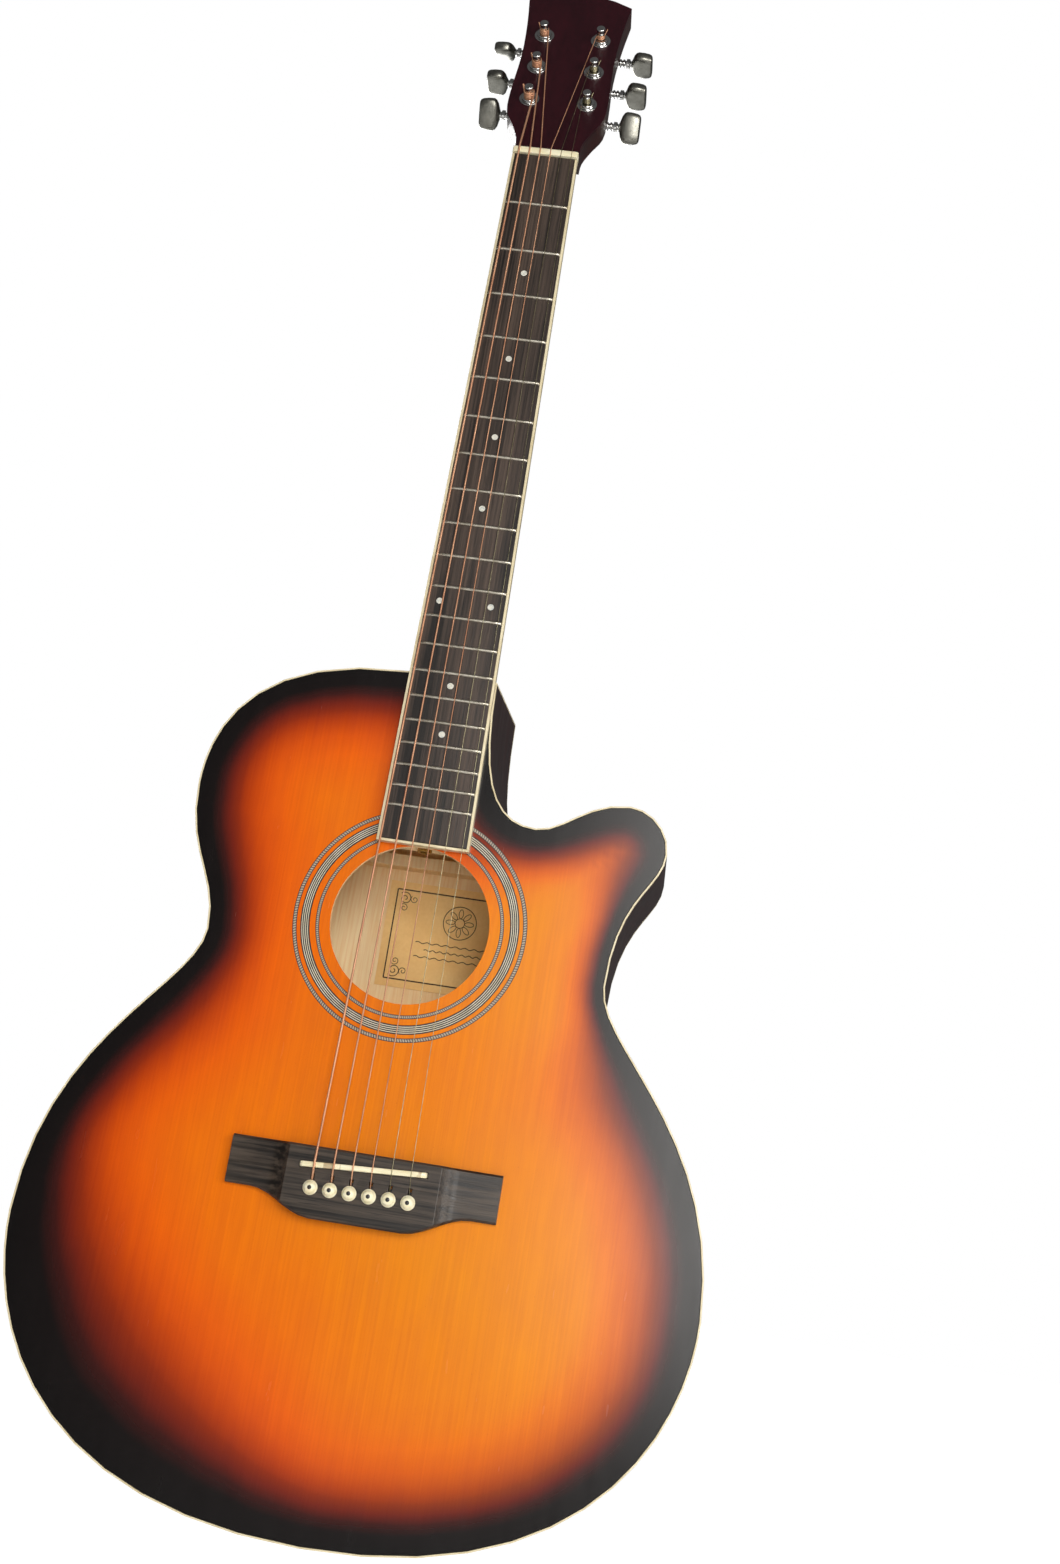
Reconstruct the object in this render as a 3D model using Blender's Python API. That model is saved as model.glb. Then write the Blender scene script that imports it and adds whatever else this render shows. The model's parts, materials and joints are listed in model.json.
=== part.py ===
"""A steel-string acoustic guitar with a rounded cutaway, built from its separate pieces.

Metres, with +Z up the neck. The soundboard's outer face is the plane Y = 0 and faces -Y, and +X is
the treble side. The origin is in the head's throat, where the arms of a wall hanger hold the guitar.
A "drop" is a distance down from the nut, and a "body drop" is one down from the neck joint.
"""

import math

import bmesh
import bpy
from mathutils import Vector

GAP = 0.0003  # glue line or running gap between two pieces

# Neck, frets and fretboard
SCALE_LENGTH = 0.650
NUT_Z = -0.018
NUT_HALF_WIDTH = 0.0215
NUT_THICKNESS = 0.0055
NUT_TOP_Y = -0.0070
FRET_COUNT = 20
JOINT_FRET = 14
FRET_WIDTH = 0.0024
FRET_HEIGHT = 0.001
BOARD_LENGTH = 0.468
BOARD_THICKNESS = 0.006
BOARD_END_HALF_WIDTH = 0.02775
BOARD_BINDING_WIDTH = 0.0016
NECK_DEPTH_AT_NUT = 0.0150
NECK_DEPTH_AT_BODY = 0.0178
NECK_STEPS = 12  # straight stretches round the back of the neck

# Heel, a stack of slices that grow shorter and narrower towards the back of the body
HEEL_FRONT_Y = 0.004
HEEL_ROOT_REACH = 0.085
HEEL_CAP_REACH = 0.0145
HEEL_ROOT_HALF_WIDTH = 0.0252
HEEL_CAP_HALF_WIDTH = 0.0140
HEEL_CAP_THICKNESS = 0.0024
HEEL_SLICES = 9
TENON_HALF_WIDTH = 0.010
TENON_DEPTH = 0.012
TENON_FRONT_Y = 0.014
TENON_BACK_Y = 0.065

# Head, in its own tilted frame: Z runs up the face, and Y goes back through the thickness
HEAD_TILT = math.radians(14)
HEAD_THICKNESS = 0.0145
VENEER_THICKNESS = 0.0015
HEAD_CROWN = 0.159
HEAD_SIDE = [  # half width at each height up the face, from the throat to the crown's corner
    (0.0215, 0.000), (0.0220, 0.010), (0.0268, 0.0225), (0.0325, 0.035), (0.0333, 0.055),
    (0.0318, 0.090), (0.0332, 0.122), (0.0360, 0.149),
]

# Truss rod
ROD_Y = 0.0085
ROD_RADIUS = 0.0025
ROD_NUT_RADIUS = 0.0045
ROD_NUT_TOP_DROP = 0.0965
ROD_NUT_LENGTH = 0.012

# Body
BODY_LENGTH = 0.4965
DEPTH_AT_NECK = 0.086
DEPTH_AT_TAIL = 0.108
PLATE_THICKNESS = 0.0028
RIM_THICKNESS = 0.0023
EDGE_BINDING_WIDTH = 0.0010
EDGE_BINDING_DEPTH = 0.0028
LINING_WIDTH = 0.0055
LINING_DEPTH = 0.0120
NECK_BLOCK_BASS_X = -0.038
NECK_BLOCK_TREBLE_X = 0.0235
NECK_BLOCK_LENGTH = 0.055
NECK_BLOCK_FALL = 0.0008  # the block's bass corner follows the shoulder down
TAIL_BLOCK_HALF_WIDTH = 0.030
TAIL_BLOCK_TOP_DROP = 0.472
TAIL_BLOCK_END_DROP = 0.492

# Outline knots: x, body drop, heading, handle before, handle after, steps to the next knot
ACROSS, DOWN, UP = (1, 0), (0, 1), (0, -1)
BASS_KNOTS = [
    (-0.027, 0.0, (-1, 0), 0.0, 0.1147, 10),
    (-0.141, 0.0867, DOWN, 0.0133, 0.0432, 7),
    (-0.118, 0.1733, DOWN, 0.0324, 0.0340, 13),
    (-0.1967, 0.348, DOWN, 0.1020, 0.0453, 14),
    (0.0, BODY_LENGTH, ACROSS, 0.1684, 0.0, 0),
]
TREBLE_KNOTS = [
    (0.0, BODY_LENGTH, ACROSS, 0.0, 0.1684, 14),
    (0.1967, 0.348, UP, 0.0453, 0.1020, 13),
    (0.118, 0.1733, UP, 0.0340, 0.0547, 9),
    (0.1427, 0.0910, UP, 0.0210, 0.0140, 5),
    (0.1175, 0.0650, (-1, 0), 0.0130, 0.0260, 6),
    (0.0640, 0.0862, (-1, 0), 0.0160, 0.0240, 9),
    (0.0268, 0.0, UP, 0.0660, 0.0, 0),
]
BACK_CORNER_X = 0.0330  # beside the heel the cutaway's side leans out, so the back is wider there

# Soundhole and rosette
HOLE_BODY_DROP = 0.154
HOLE_RADIUS = 0.0468
HOLE_STEPS = 64
BAND_INNER_RADIUS = 0.0591
BAND_OUTER_RADIUS = 0.0640
BAND_DEPTH = 0.0012

# Braces and the bridge's plate
X_CROSSING_DROP = 0.232
X_HALF_ANGLE = math.radians(47)
X_UPPER_LENGTH = 0.150
X_LOWER_LENGTH = 0.225
X_WIDTH = 0.008
X_HEIGHT = 0.015
BRACE_TIP_HEIGHT = 0.003
BRACE_TAPER = 0.035
TRANSVERSE_DROP = 0.101
TRANSVERSE_HALF_LENGTH = 0.127
TRANSVERSE_WIDTH = 0.010
TRANSVERSE_HEIGHT = 0.016
BACK_BRACE_HEIGHT = 0.012
BACK_BRACE_WIDTH = 0.008
BACK_BRACES = {"back_brace_upper": (0.101, 0.127), "back_brace_waist": (0.199, 0.116),
               "back_brace_lower": (0.330, 0.184)}
BRIDGE_PLATE_THICKNESS = 0.0025
LABEL_THICKNESS = 0.0003

# Bridge and saddle. Heights up are measured from the end of the scale length.
BRIDGE_HALF_LENGTH = 0.0775
BRIDGE_UPPER_EDGE = 0.0023
BRIDGE_WING_EDGE = -0.0248
BRIDGE_BELLY_EDGE = -0.0375
BRIDGE_MIDDLE_HEIGHT = 0.009
BRIDGE_WING_HEIGHT = 0.0046
BRIDGE_TIP_HEIGHT = 0.0040
BRIDGE_BLOCK_HALF = 0.0435
BRIDGE_SCOOP = 0.010
SADDLE_UP = -0.0065
SADDLE_LENGTH = 0.072
SADDLE_THICKNESS = 0.0026
SADDLE_SLANT = math.radians(3.35)
SADDLE_TOP_Y = -0.0120
SADDLE_FOOT_Y = -0.0042
PIN_UP = -0.0207
PIN_SHANK_TOP = 0.00255
PIN_SHANK_END = 0.0021
PIN_HEAD_RADIUS = 0.0042
PIN_HEAD_HEIGHT = 0.0034
PIN_END_Y = 0.0130
PIN_HOLE_RADIUS = 0.00285
PIN_SLOT_HALF_WIDTH = 0.00105
PIN_SLOT_LONG = 0.0079
PIN_SLOT_SHORT = 0.0046
STRING_FROM_PIN = 0.0035

# Strings from the bass side to the treble side: name, radius
STRINGS = [("low_e", 0.00067), ("a", 0.00053), ("d", 0.00041), ("g", 0.00031), ("b", 0.00021),
           ("high_e", 0.00017)]
NUT_SPREAD = 0.0347
SADDLE_SPREAD = 0.0545
PIN_SPREAD = 0.0555
BALL_RADIUS = 0.0018

# Tuners, in the head's frame
POST_X = 0.0195
POST_HEIGHTS = (0.048, 0.080, 0.112)
POST_RADIUS = 0.0030
POST_HOLE_RADIUS = 0.0034
POST_TIP = 0.0130
STRING_ABOVE_FACE = 0.0062
SHAFT_ABOVE_POST = 0.0066
SHAFT_BACK = 0.0197
SHAFT_RADIUS = 0.0021
WHEEL_RADIUS = 0.0042
BUTTON_TURNS = {"low_e": -35, "a": 12, "d": 30, "g": 12, "b": 5, "high_e": -50}

END_PIN_Y = 0.054
END_PIN_HOLE_RADIUS = 0.0034


def fret_drop(number):
    return SCALE_LENGTH * (1 - 2 ** (-number / 12))


BODY_TOP_Z = NUT_Z - fret_drop(JOINT_FRET)
SCALE_END_Z = NUT_Z - SCALE_LENGTH
HEAD_PIVOT_Z = NUT_Z + NUT_THICKNESS


def body_z(drop):
    return BODY_TOP_Z - drop


def back_y(z):
    """The back's outer face: the body deepens steadily from the neck to the tail."""
    return DEPTH_AT_NECK + (DEPTH_AT_TAIL - DEPTH_AT_NECK) * (BODY_TOP_Z - z) / BODY_LENGTH


def board_half_width(z):
    return NUT_HALF_WIDTH + (BOARD_END_HALF_WIDTH - NUT_HALF_WIDTH) * (NUT_Z - z) / BOARD_LENGTH


def level(y):
    """A face at one depth, as a function of height like back_y."""
    return lambda z: y


# Objects and materials


def clear_scene():
    for thing in list(bpy.data.objects):
        bpy.data.objects.remove(thing)


def material(name, color, roughness, metallic=0.0):
    found = bpy.data.materials.get(name)
    if found:
        return found
    made = bpy.data.materials.new(name)
    made.use_nodes = True
    shader = made.node_tree.nodes["Principled BSDF"]
    shader.inputs["Base Color"].default_value = (*color, 1)
    shader.inputs["Roughness"].default_value = roughness
    shader.inputs["Metallic"].default_value = metallic
    return made


def sunburst():
    return material("sunburst_spruce", (0.60, 0.20, 0.02), 0.38)


def stained_mahogany():
    return material("stained_mahogany", (0.055, 0.016, 0.012), 0.40)


def plain_spruce():
    return material("plain_spruce", (0.62, 0.44, 0.24), 0.70)


def rosewood():
    return material("rosewood", (0.060, 0.040, 0.032), 0.55)


def cream():
    return material("cream_plastic", (0.72, 0.64, 0.46), 0.35)


def bone():
    return material("bone", (0.80, 0.75, 0.62), 0.40)


def bronze_wire():
    return material("bronze_wire", (0.62, 0.36, 0.20), 0.35, 1.0)


def steel():
    return material("steel", (0.62, 0.62, 0.62), 0.30, 1.0)


def nickel():
    return material("nickel", (0.60, 0.58, 0.54), 0.28, 1.0)


def brass():
    return material("brass", (0.70, 0.48, 0.18), 0.35, 1.0)


def paper():
    return material("paper", (0.62, 0.50, 0.34), 0.90)


def add(name, data, finish, parent=None):
    made = bpy.data.objects.new(name, data)
    bpy.context.scene.collection.objects.link(made)
    data.materials.append(finish)
    made.parent = parent
    return made


def add_cutter(name, data, parent=None):
    made = bpy.data.objects.new(name, data)
    bpy.context.scene.collection.objects.link(made)
    made.hide_render = True
    made.display_type = "WIRE"
    made.parent = parent
    return made


def boolean(thing, other, operation="DIFFERENCE"):
    modifier = thing.modifiers.new(other.name, "BOOLEAN")
    modifier.operation = operation
    modifier.solver = "EXACT"
    modifier.object = other


def finished(shape, name, smooth=False):
    """The bmesh as a mesh whose faces point out."""
    bmesh.ops.recalc_face_normals(shape, faces=shape.faces)
    data = bpy.data.meshes.new(name)
    shape.to_mesh(data)
    shape.free()
    if smooth:
        data.shade_smooth()
        data.set_sharp_from_angle(angle=math.radians(35))
    return data


# Shapes


def join_rings(shape, rings, close=False):
    """Quads between each ring of points and the next, and a cap on each end unless the row closes."""
    made = [[shape.verts.new(point) for point in ring] for ring in rings]
    pairs = list(zip(made, made[1:] + made[:1])) if close else list(zip(made, made[1:]))
    for ring, following in pairs:
        for i in range(len(ring)):
            j = (i + 1) % len(ring)
            shape.faces.new((ring[i], ring[j], following[j], following[i]))
    if not close:
        shape.faces.new(made[0])
        shape.faces.new(made[-1])


def lofted(name, rings, close=False, smooth=False):
    shape = bmesh.new()
    join_rings(shape, rings, close)
    return finished(shape, name, smooth)


def plates(name, outlines, front, back):
    """Flat plates of the given (x, z) outlines, from a front face to a back face."""
    shape = bmesh.new()
    for outline in outlines:
        join_rings(shape, [[(x, front(z), z) for x, z in outline], [(x, back(z), z) for x, z in outline]])
    return finished(shape, name)


def plate(name, outline, front, back):
    return plates(name, [outline], front, back)


def ribbon(name, outer, inner, front, back, close=False, back_outer=None, back_inner=None):
    """A strip standing between two outlines, as a bent rim does, or a whole ring if it closes.
    A strip that leans has its own outlines at the back."""
    sections = []
    for (ax, az), (bx, bz), (cx, cz), (dx, dz) in zip(outer, inner, back_inner or inner, back_outer or outer):
        sections.append(((ax, front(az), az), (bx, front(bz), bz), (cx, back(cz), cz), (dx, back(dz), dz)))
    return lofted(name, sections, close)


def box(name, low, high):
    (x0, y0, z0), (x1, y1, z1) = low, high
    return plate(name, [(x0, z0), (x1, z0), (x1, z1), (x0, z1)], level(y0), level(y1))


def turned(name, profile, steps=14):
    """A piece turned about its own Z from (radius, height) pairs that run along its outside."""
    angles = [2 * math.pi * i / steps for i in range(steps)]
    rings = [[(r * math.cos(a), r * math.sin(a), h) for a in angles] for r, h in profile]
    return lofted(name, rings, smooth=True)


def circle(radius, steps, x=0.0, z=0.0):
    angles = [2 * math.pi * i / steps for i in range(steps)]
    return [(x + radius * math.cos(a), z + radius * math.sin(a)) for a in angles]


def rectangle(x0, x1, z0, z1):
    return [(x0, z0), (x1, z0), (x1, z1), (x0, z1)]


def curve_between(first, second):
    """Points of the cubic curve from one outline knot to the next, without the last one."""
    x0, drop0, heading0, _, handle0, steps = first
    x1, drop1, heading1, handle1, _, _ = second
    a = Vector((x0, drop0))
    b = a + Vector(heading0) * handle0
    d = Vector((x1, drop1))
    c = d - Vector(heading1) * handle1
    points = []
    for i in range(steps):
        t = i / steps
        points.append(a * (1 - t) ** 3 + b * 3 * t * (1 - t) ** 2 + c * 3 * t * t * (1 - t) + d * t ** 3)
    return points


def outline_side(knots):
    points = []
    for first, second in zip(knots, knots[1:]):
        points += curve_between(first, second)
    return [(p.x, body_z(p.y)) for p in points]


BASS_SIDE = outline_side(BASS_KNOTS)
TREBLE_SIDE = outline_side(TREBLE_KNOTS) + [(TREBLE_KNOTS[-1][0], BODY_TOP_Z)]
BODY_OUTLINE = BASS_SIDE + TREBLE_SIDE
BACK_CORNER = (BACK_CORNER_X, *TREBLE_KNOTS[-1][1:])
BACK_OUTLINE = BASS_SIDE + outline_side(TREBLE_KNOTS[:-1] + [BACK_CORNER]) + [(BACK_CORNER_X, BODY_TOP_Z)]
TAIL_INDEX = len(BASS_SIDE)


def inset(outline, distance):
    """The closed outline moved inwards by a distance, with mitred corners."""
    moved = []
    count = len(outline)
    for i, (x, z) in enumerate(outline):
        here = Vector((x, z))
        before = (here - Vector(outline[i - 1])).normalized()
        after = (Vector(outline[(i + 1) % count]) - here).normalized()
        inward = Vector((-before.y, before.x)) + Vector((-after.y, after.x))
        inward.normalize()
        moved.append(tuple(here + inward * distance / inward.dot(Vector((-after.y, after.x)))))
    return moved


# Body


def make_plates():
    outline = inset(BODY_OUTLINE, EDGE_BINDING_WIDTH + GAP)
    soundboard = add(
        "soundboard", plate("soundboard", outline, level(0), level(PLATE_THICKNESS)), sunburst()
    )
    hole_z = body_z(HOLE_BODY_DROP)
    hole = plate("soundhole", circle(HOLE_RADIUS, HOLE_STEPS, 0, hole_z), level(-0.01), level(0.01))
    boolean(soundboard, add_cutter("soundhole_cutter", hole))
    groove = ribbon(
        "rosette_groove",
        circle(BAND_OUTER_RADIUS + GAP, HOLE_STEPS, 0, hole_z),
        circle(BAND_INNER_RADIUS - GAP, HOLE_STEPS, 0, hole_z),
        level(-0.001),
        level(BAND_DEPTH + GAP),
        close=True,
    )
    boolean(soundboard, add_cutter("rosette_groove_cutter", groove))
    boolean(soundboard, pin_hole_cutter("soundboard_pin_holes", PIN_SLOT_SHORT))
    band = ribbon(
        "rosette_band",
        circle(BAND_OUTER_RADIUS, HOLE_STEPS, 0, hole_z),
        circle(BAND_INNER_RADIUS, HOLE_STEPS, 0, hole_z),
        level(0),
        level(BAND_DEPTH),
        close=True,
    )
    add("rosette_band", band, cream())
    outline = inset(BACK_OUTLINE, EDGE_BINDING_WIDTH + GAP)
    back = plate("back_plate", outline, lambda z: back_y(z) - PLATE_THICKNESS, back_y)
    add("back_plate", back, stained_mahogany())


def make_bindings():
    inner = inset(BODY_OUTLINE, EDGE_BINDING_WIDTH)
    top = ribbon("binding_top", BODY_OUTLINE, inner, level(0), level(EDGE_BINDING_DEPTH), close=True)
    add("binding_top", top, cream())
    inner = inset(BACK_OUTLINE, EDGE_BINDING_WIDTH)
    back = ribbon(
        "binding_back", BACK_OUTLINE, inner, lambda z: back_y(z) - EDGE_BINDING_DEPTH, back_y, close=True
    )
    add("binding_back", back, cream())


def rim(name, front_outlines, back_outlines):
    outer, inner = front_outlines
    back_outer, back_inner = back_outlines
    front = level(PLATE_THICKNESS + GAP)
    data = ribbon(
        name, outer, inner, front, lambda z: back_y(z) - PLATE_THICKNESS - GAP,
        back_outer=back_outer, back_inner=back_inner,
    )
    thing = add(name, data, stained_mahogany())
    boolean(thing, bpy.data.objects["end_pin_cutter"])


def bass_rim_outlines(outline):
    """The outer and inner lines of the bass rim, from the neck's tenon to the tail's centreline."""
    inner = inset(outline, RIM_THICKNESS)
    edge, seam = TENON_HALF_WIDTH + GAP, GAP / 2
    tail = body_z(BODY_LENGTH)
    return (
        [(-edge, BODY_TOP_Z)] + outline[:TAIL_INDEX] + [(-seam, tail)],
        [(-edge, BODY_TOP_Z - RIM_THICKNESS)] + inner[:TAIL_INDEX] + [(-seam, tail + RIM_THICKNESS)],
    )


def treble_rim_outlines(outline):
    """The outer and inner lines of the treble rim, from the tail's centreline to the neck's tenon."""
    inner = inset(outline, RIM_THICKNESS)
    edge, seam = TENON_HALF_WIDTH + GAP, GAP / 2
    tail = body_z(BODY_LENGTH)
    return (
        [(seam, tail)] + outline[TAIL_INDEX + 1:] + [(edge, BODY_TOP_Z)],
        [(seam, tail + RIM_THICKNESS)] + inner[TAIL_INDEX + 1:] + [(edge, BODY_TOP_Z - RIM_THICKNESS)],
    )


def make_rims():
    """Two bent sides. They part at the neck's tenon and meet on the centreline at the tail."""
    hole = turned("end_pin_hole", [(END_PIN_HOLE_RADIUS, -0.04), (END_PIN_HOLE_RADIUS, 0.02)])
    add_cutter("end_pin_cutter", hole).location = (0, END_PIN_Y, body_z(BODY_LENGTH))
    rim("rim_bass", bass_rim_outlines(BODY_OUTLINE), bass_rim_outlines(BACK_OUTLINE))
    rim("rim_treble", treble_rim_outlines(BODY_OUTLINE), treble_rim_outlines(BACK_OUTLINE))


def make_linings():
    """The strips that give the plates their glue area. Each runs round from one side of the neck block."""
    outer = inset(BODY_OUTLINE, RIM_THICKNESS + GAP)
    inner = inset(BODY_OUTLINE, RIM_THICKNESS + GAP + LINING_WIDTH)
    bass_limit = NECK_BLOCK_BASS_X - 0.002
    end_z = body_z(NECK_BLOCK_LENGTH + 0.003)
    first = next(i for i, (x, _) in enumerate(inner) if x < bass_limit)
    last = max(i for i, (_, z) in enumerate(inner) if z < end_z)
    outer, inner = outer[first:last + 1], inner[first:last + 1]
    start = PLATE_THICKNESS + GAP
    top = ribbon("lining_top", outer, inner, level(start), level(start + LINING_DEPTH))
    add("lining_top", top, plain_spruce())
    back_outer = inset(BACK_OUTLINE, RIM_THICKNESS + GAP)[first:last + 1]
    back_inner = inset(BACK_OUTLINE, RIM_THICKNESS + GAP + LINING_WIDTH)[first:last + 1]
    back = ribbon(
        "lining_back", outer, inner,
        lambda z: back_y(z) - start - LINING_DEPTH, lambda z: back_y(z) - start,
        back_outer=back_outer, back_inner=back_inner,
    )
    add("lining_back", back, plain_spruce())


def make_blocks():
    start = PLATE_THICKNESS + GAP
    under_rim = RIM_THICKNESS + GAP
    outline = [
        (NECK_BLOCK_BASS_X, body_z(NECK_BLOCK_LENGTH)), (NECK_BLOCK_TREBLE_X, body_z(NECK_BLOCK_LENGTH)),
        (NECK_BLOCK_TREBLE_X, body_z(under_rim)), (-TENON_HALF_WIDTH, body_z(under_rim)),
        (NECK_BLOCK_BASS_X, body_z(under_rim) - NECK_BLOCK_FALL),
    ]
    data = plate("neck_block", outline, level(start), lambda z: back_y(z) - start)
    neck_block = add("neck_block", data, plain_spruce())
    side = TENON_HALF_WIDTH + GAP
    mortise = box(
        "mortise",
        (-side, TENON_FRONT_Y - GAP, body_z(TENON_DEPTH + GAP)),
        (side, TENON_BACK_Y + GAP, BODY_TOP_Z + 0.01),
    )
    boolean(neck_block, add_cutter("mortise_cutter", mortise))
    boolean(neck_block, rod_hole_cutter())
    over_lining = start + LINING_DEPTH + GAP
    outline = rectangle(
        -TAIL_BLOCK_HALF_WIDTH, TAIL_BLOCK_HALF_WIDTH,
        body_z(TAIL_BLOCK_END_DROP), body_z(TAIL_BLOCK_TOP_DROP),
    )
    data = plate("tail_block", outline, level(over_lining), lambda z: back_y(z) - over_lining)
    tail_block = add("tail_block", data, plain_spruce())
    boolean(tail_block, bpy.data.objects["end_pin_cutter"])


def rod_hole_cutter():
    data = turned("rod_hole", [(ROD_RADIUS + GAP, -0.08), (ROD_RADIUS + GAP, 0.02)])
    cutter = add_cutter("rod_hole_cutter", data)
    cutter.location = (0, ROD_Y, BODY_TOP_Z)
    return cutter


def brace_bar(name, start, end, width, height, taper):
    """A bar along its own X with its flat face at Y = 0 and both ends pared down."""
    profile = [
        (start, 0), (end, 0), (end, BRACE_TIP_HEIGHT), (end - taper, height),
        (start + taper, height), (start, BRACE_TIP_HEIGHT),
    ]
    rings = [[(s, depth, side) for s, depth in profile] for side in (-width / 2, width / 2)]
    return lofted(name, rings)


def make_x_braces():
    """Two long bars that cross below the soundhole in a half lap."""
    half = X_HEIGHT / 2
    turns = {"x_brace_bass": math.pi / 2 - X_HALF_ANGLE, "x_brace_treble": math.pi / 2 + X_HALF_ANGLE}
    laps = {"x_brace_bass": (half - GAP / 2, X_HEIGHT + 0.002), "x_brace_treble": (-0.002, half + GAP / 2)}
    place = (0, PLATE_THICKNESS + GAP, body_z(X_CROSSING_DROP))
    for name, turn in turns.items():
        bar = brace_bar(name, -X_UPPER_LENGTH, X_LOWER_LENGTH, X_WIDTH, X_HEIGHT, BRACE_TAPER)
        brace = add(name, bar, plain_spruce())
        brace.location = place
        brace.rotation_euler = (0, turn, 0)
        low, high = laps[name]
        reach = X_WIDTH / 2 + GAP
        lap = add_cutter(name + "_lap_cutter", box(name + "_lap", (-0.02, low, -reach), (0.02, high, reach)))
        lap.location = place
        lap.rotation_euler = (0, math.pi - turn, 0)
        boolean(brace, lap)


def make_soundboard_braces():
    make_x_braces()
    bar = brace_bar(
        "upper_transverse_brace", -TRANSVERSE_HALF_LENGTH, TRANSVERSE_HALF_LENGTH,
        TRANSVERSE_WIDTH, TRANSVERSE_HEIGHT, BRACE_TAPER,
    )
    brace = add("upper_transverse_brace", bar, plain_spruce())
    brace.location = (0, PLATE_THICKNESS + GAP, body_z(TRANSVERSE_DROP))
    notch = ROD_NUT_RADIUS + 0.001
    z = body_z(TRANSVERSE_DROP)
    data = box("rod_notch", (-notch, 0.001, z - 0.01), (notch, ROD_Y + notch, z + 0.01))
    boolean(brace, add_cutter("rod_notch_cutter", data))
    start = PLATE_THICKNESS + GAP
    outline = [
        (-0.054, body_z(0.293)), (0.054, body_z(0.293)), (0.084, body_z(0.335)), (-0.084, body_z(0.335)),
    ]
    data = plate("bridge_plate", outline, level(start), level(start + BRIDGE_PLATE_THICKNESS))
    boolean(
        add("bridge_plate", data, plain_spruce()), pin_hole_cutter("plate_pin_holes", PIN_SLOT_SHORT)
    )


def make_back_braces_and_label():
    start = PLATE_THICKNESS + GAP
    for name, (drop, half_length) in BACK_BRACES.items():
        half = BACK_BRACE_WIDTH / 2
        outline = rectangle(-half_length, half_length, body_z(drop + half), body_z(drop - half))
        data = plate(
            name, outline, lambda z: back_y(z) - start - BACK_BRACE_HEIGHT, lambda z: back_y(z) - start
        )
        add(name, data, plain_spruce())
    outline = rectangle(-0.029, 0.066, body_z(0.179), body_z(0.112))
    data = plate(
        "label", outline, lambda z: back_y(z) - start - LABEL_THICKNESS, lambda z: back_y(z) - start
    )
    add("label", data, paper())


def make_end_pin():
    profile = [
        (0.0026, -0.0075), (0.0030, 0.0), (0.0050, 0.0003), (0.0062, 0.0012), (0.0045, 0.0028),
        (0.0045, 0.0042), (0.0068, 0.0056), (0.0068, 0.0064), (0.0050, 0.0072),
    ]
    pin = add("end_pin", turned("end_pin", profile, 20), material("black_plastic", (0.02, 0.02, 0.02), 0.3))
    pin.location = (0, END_PIN_Y, body_z(BODY_LENGTH) - GAP)
    pin.rotation_euler = (math.pi, 0, 0)


# Neck and head


def head_frame():
    """An empty whose Z runs up the face of the tilted head and whose Y goes back through it."""
    frame = bpy.data.objects.new("head_frame", None)
    bpy.context.scene.collection.objects.link(frame)
    frame.location = (0, 0, HEAD_PIVOT_Z)
    frame.rotation_euler = (-HEAD_TILT, 0, 0)
    return frame


def head_outline(start, steps=3):
    """The head's outline above a height: flowing sides, and a crown that rises to the middle."""
    side = []
    points = [Vector(p) for p in HEAD_SIDE]
    for i in range(len(points) - 1):
        before = points[max(i - 1, 0)]
        a, b = points[i], points[i + 1]
        after = points[min(i + 2, len(points) - 1)]
        for k in range(steps):
            t = k / steps
            side.append(0.5 * (2 * a + (b - before) * t + (2 * before - 5 * a + 4 * b - after) * t * t
                               + (3 * a - before - 3 * b + after) * t ** 3))
    side = [(p.x, max(p.y, start)) for p in side if p.y >= start or p.y == 0]
    corner_x, corner_z = HEAD_SIDE[-1]
    crown = []
    for k in range(7):
        x = corner_x * (1 - k / 3)
        crown.append((x, HEAD_CROWN - (HEAD_CROWN - corner_z) * (x / corner_x) ** 2))
    return side + crown + [(-x, z) for x, z in reversed(side)]


def neck_section(z, half_width, depth):
    """A D-shaped section: flat under the fretboard and round at the back."""
    angles = [math.pi * i / NECK_STEPS for i in range(NECK_STEPS + 1)]
    return [(half_width * math.cos(a), depth * math.sin(a), z) for a in angles]


def head_section(v, half_width, front, depth):
    """A D-shaped section standing across the tilted head, sunk below its face."""
    tilt_sin, tilt_cos = math.sin(HEAD_TILT), math.cos(HEAD_TILT)
    placed = []
    for x, w, _ in neck_section(0, half_width, depth):
        w += front
        placed.append((x, v * tilt_sin + w * tilt_cos, HEAD_PIVOT_Z + v * tilt_cos - w * tilt_sin))
    return placed


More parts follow.
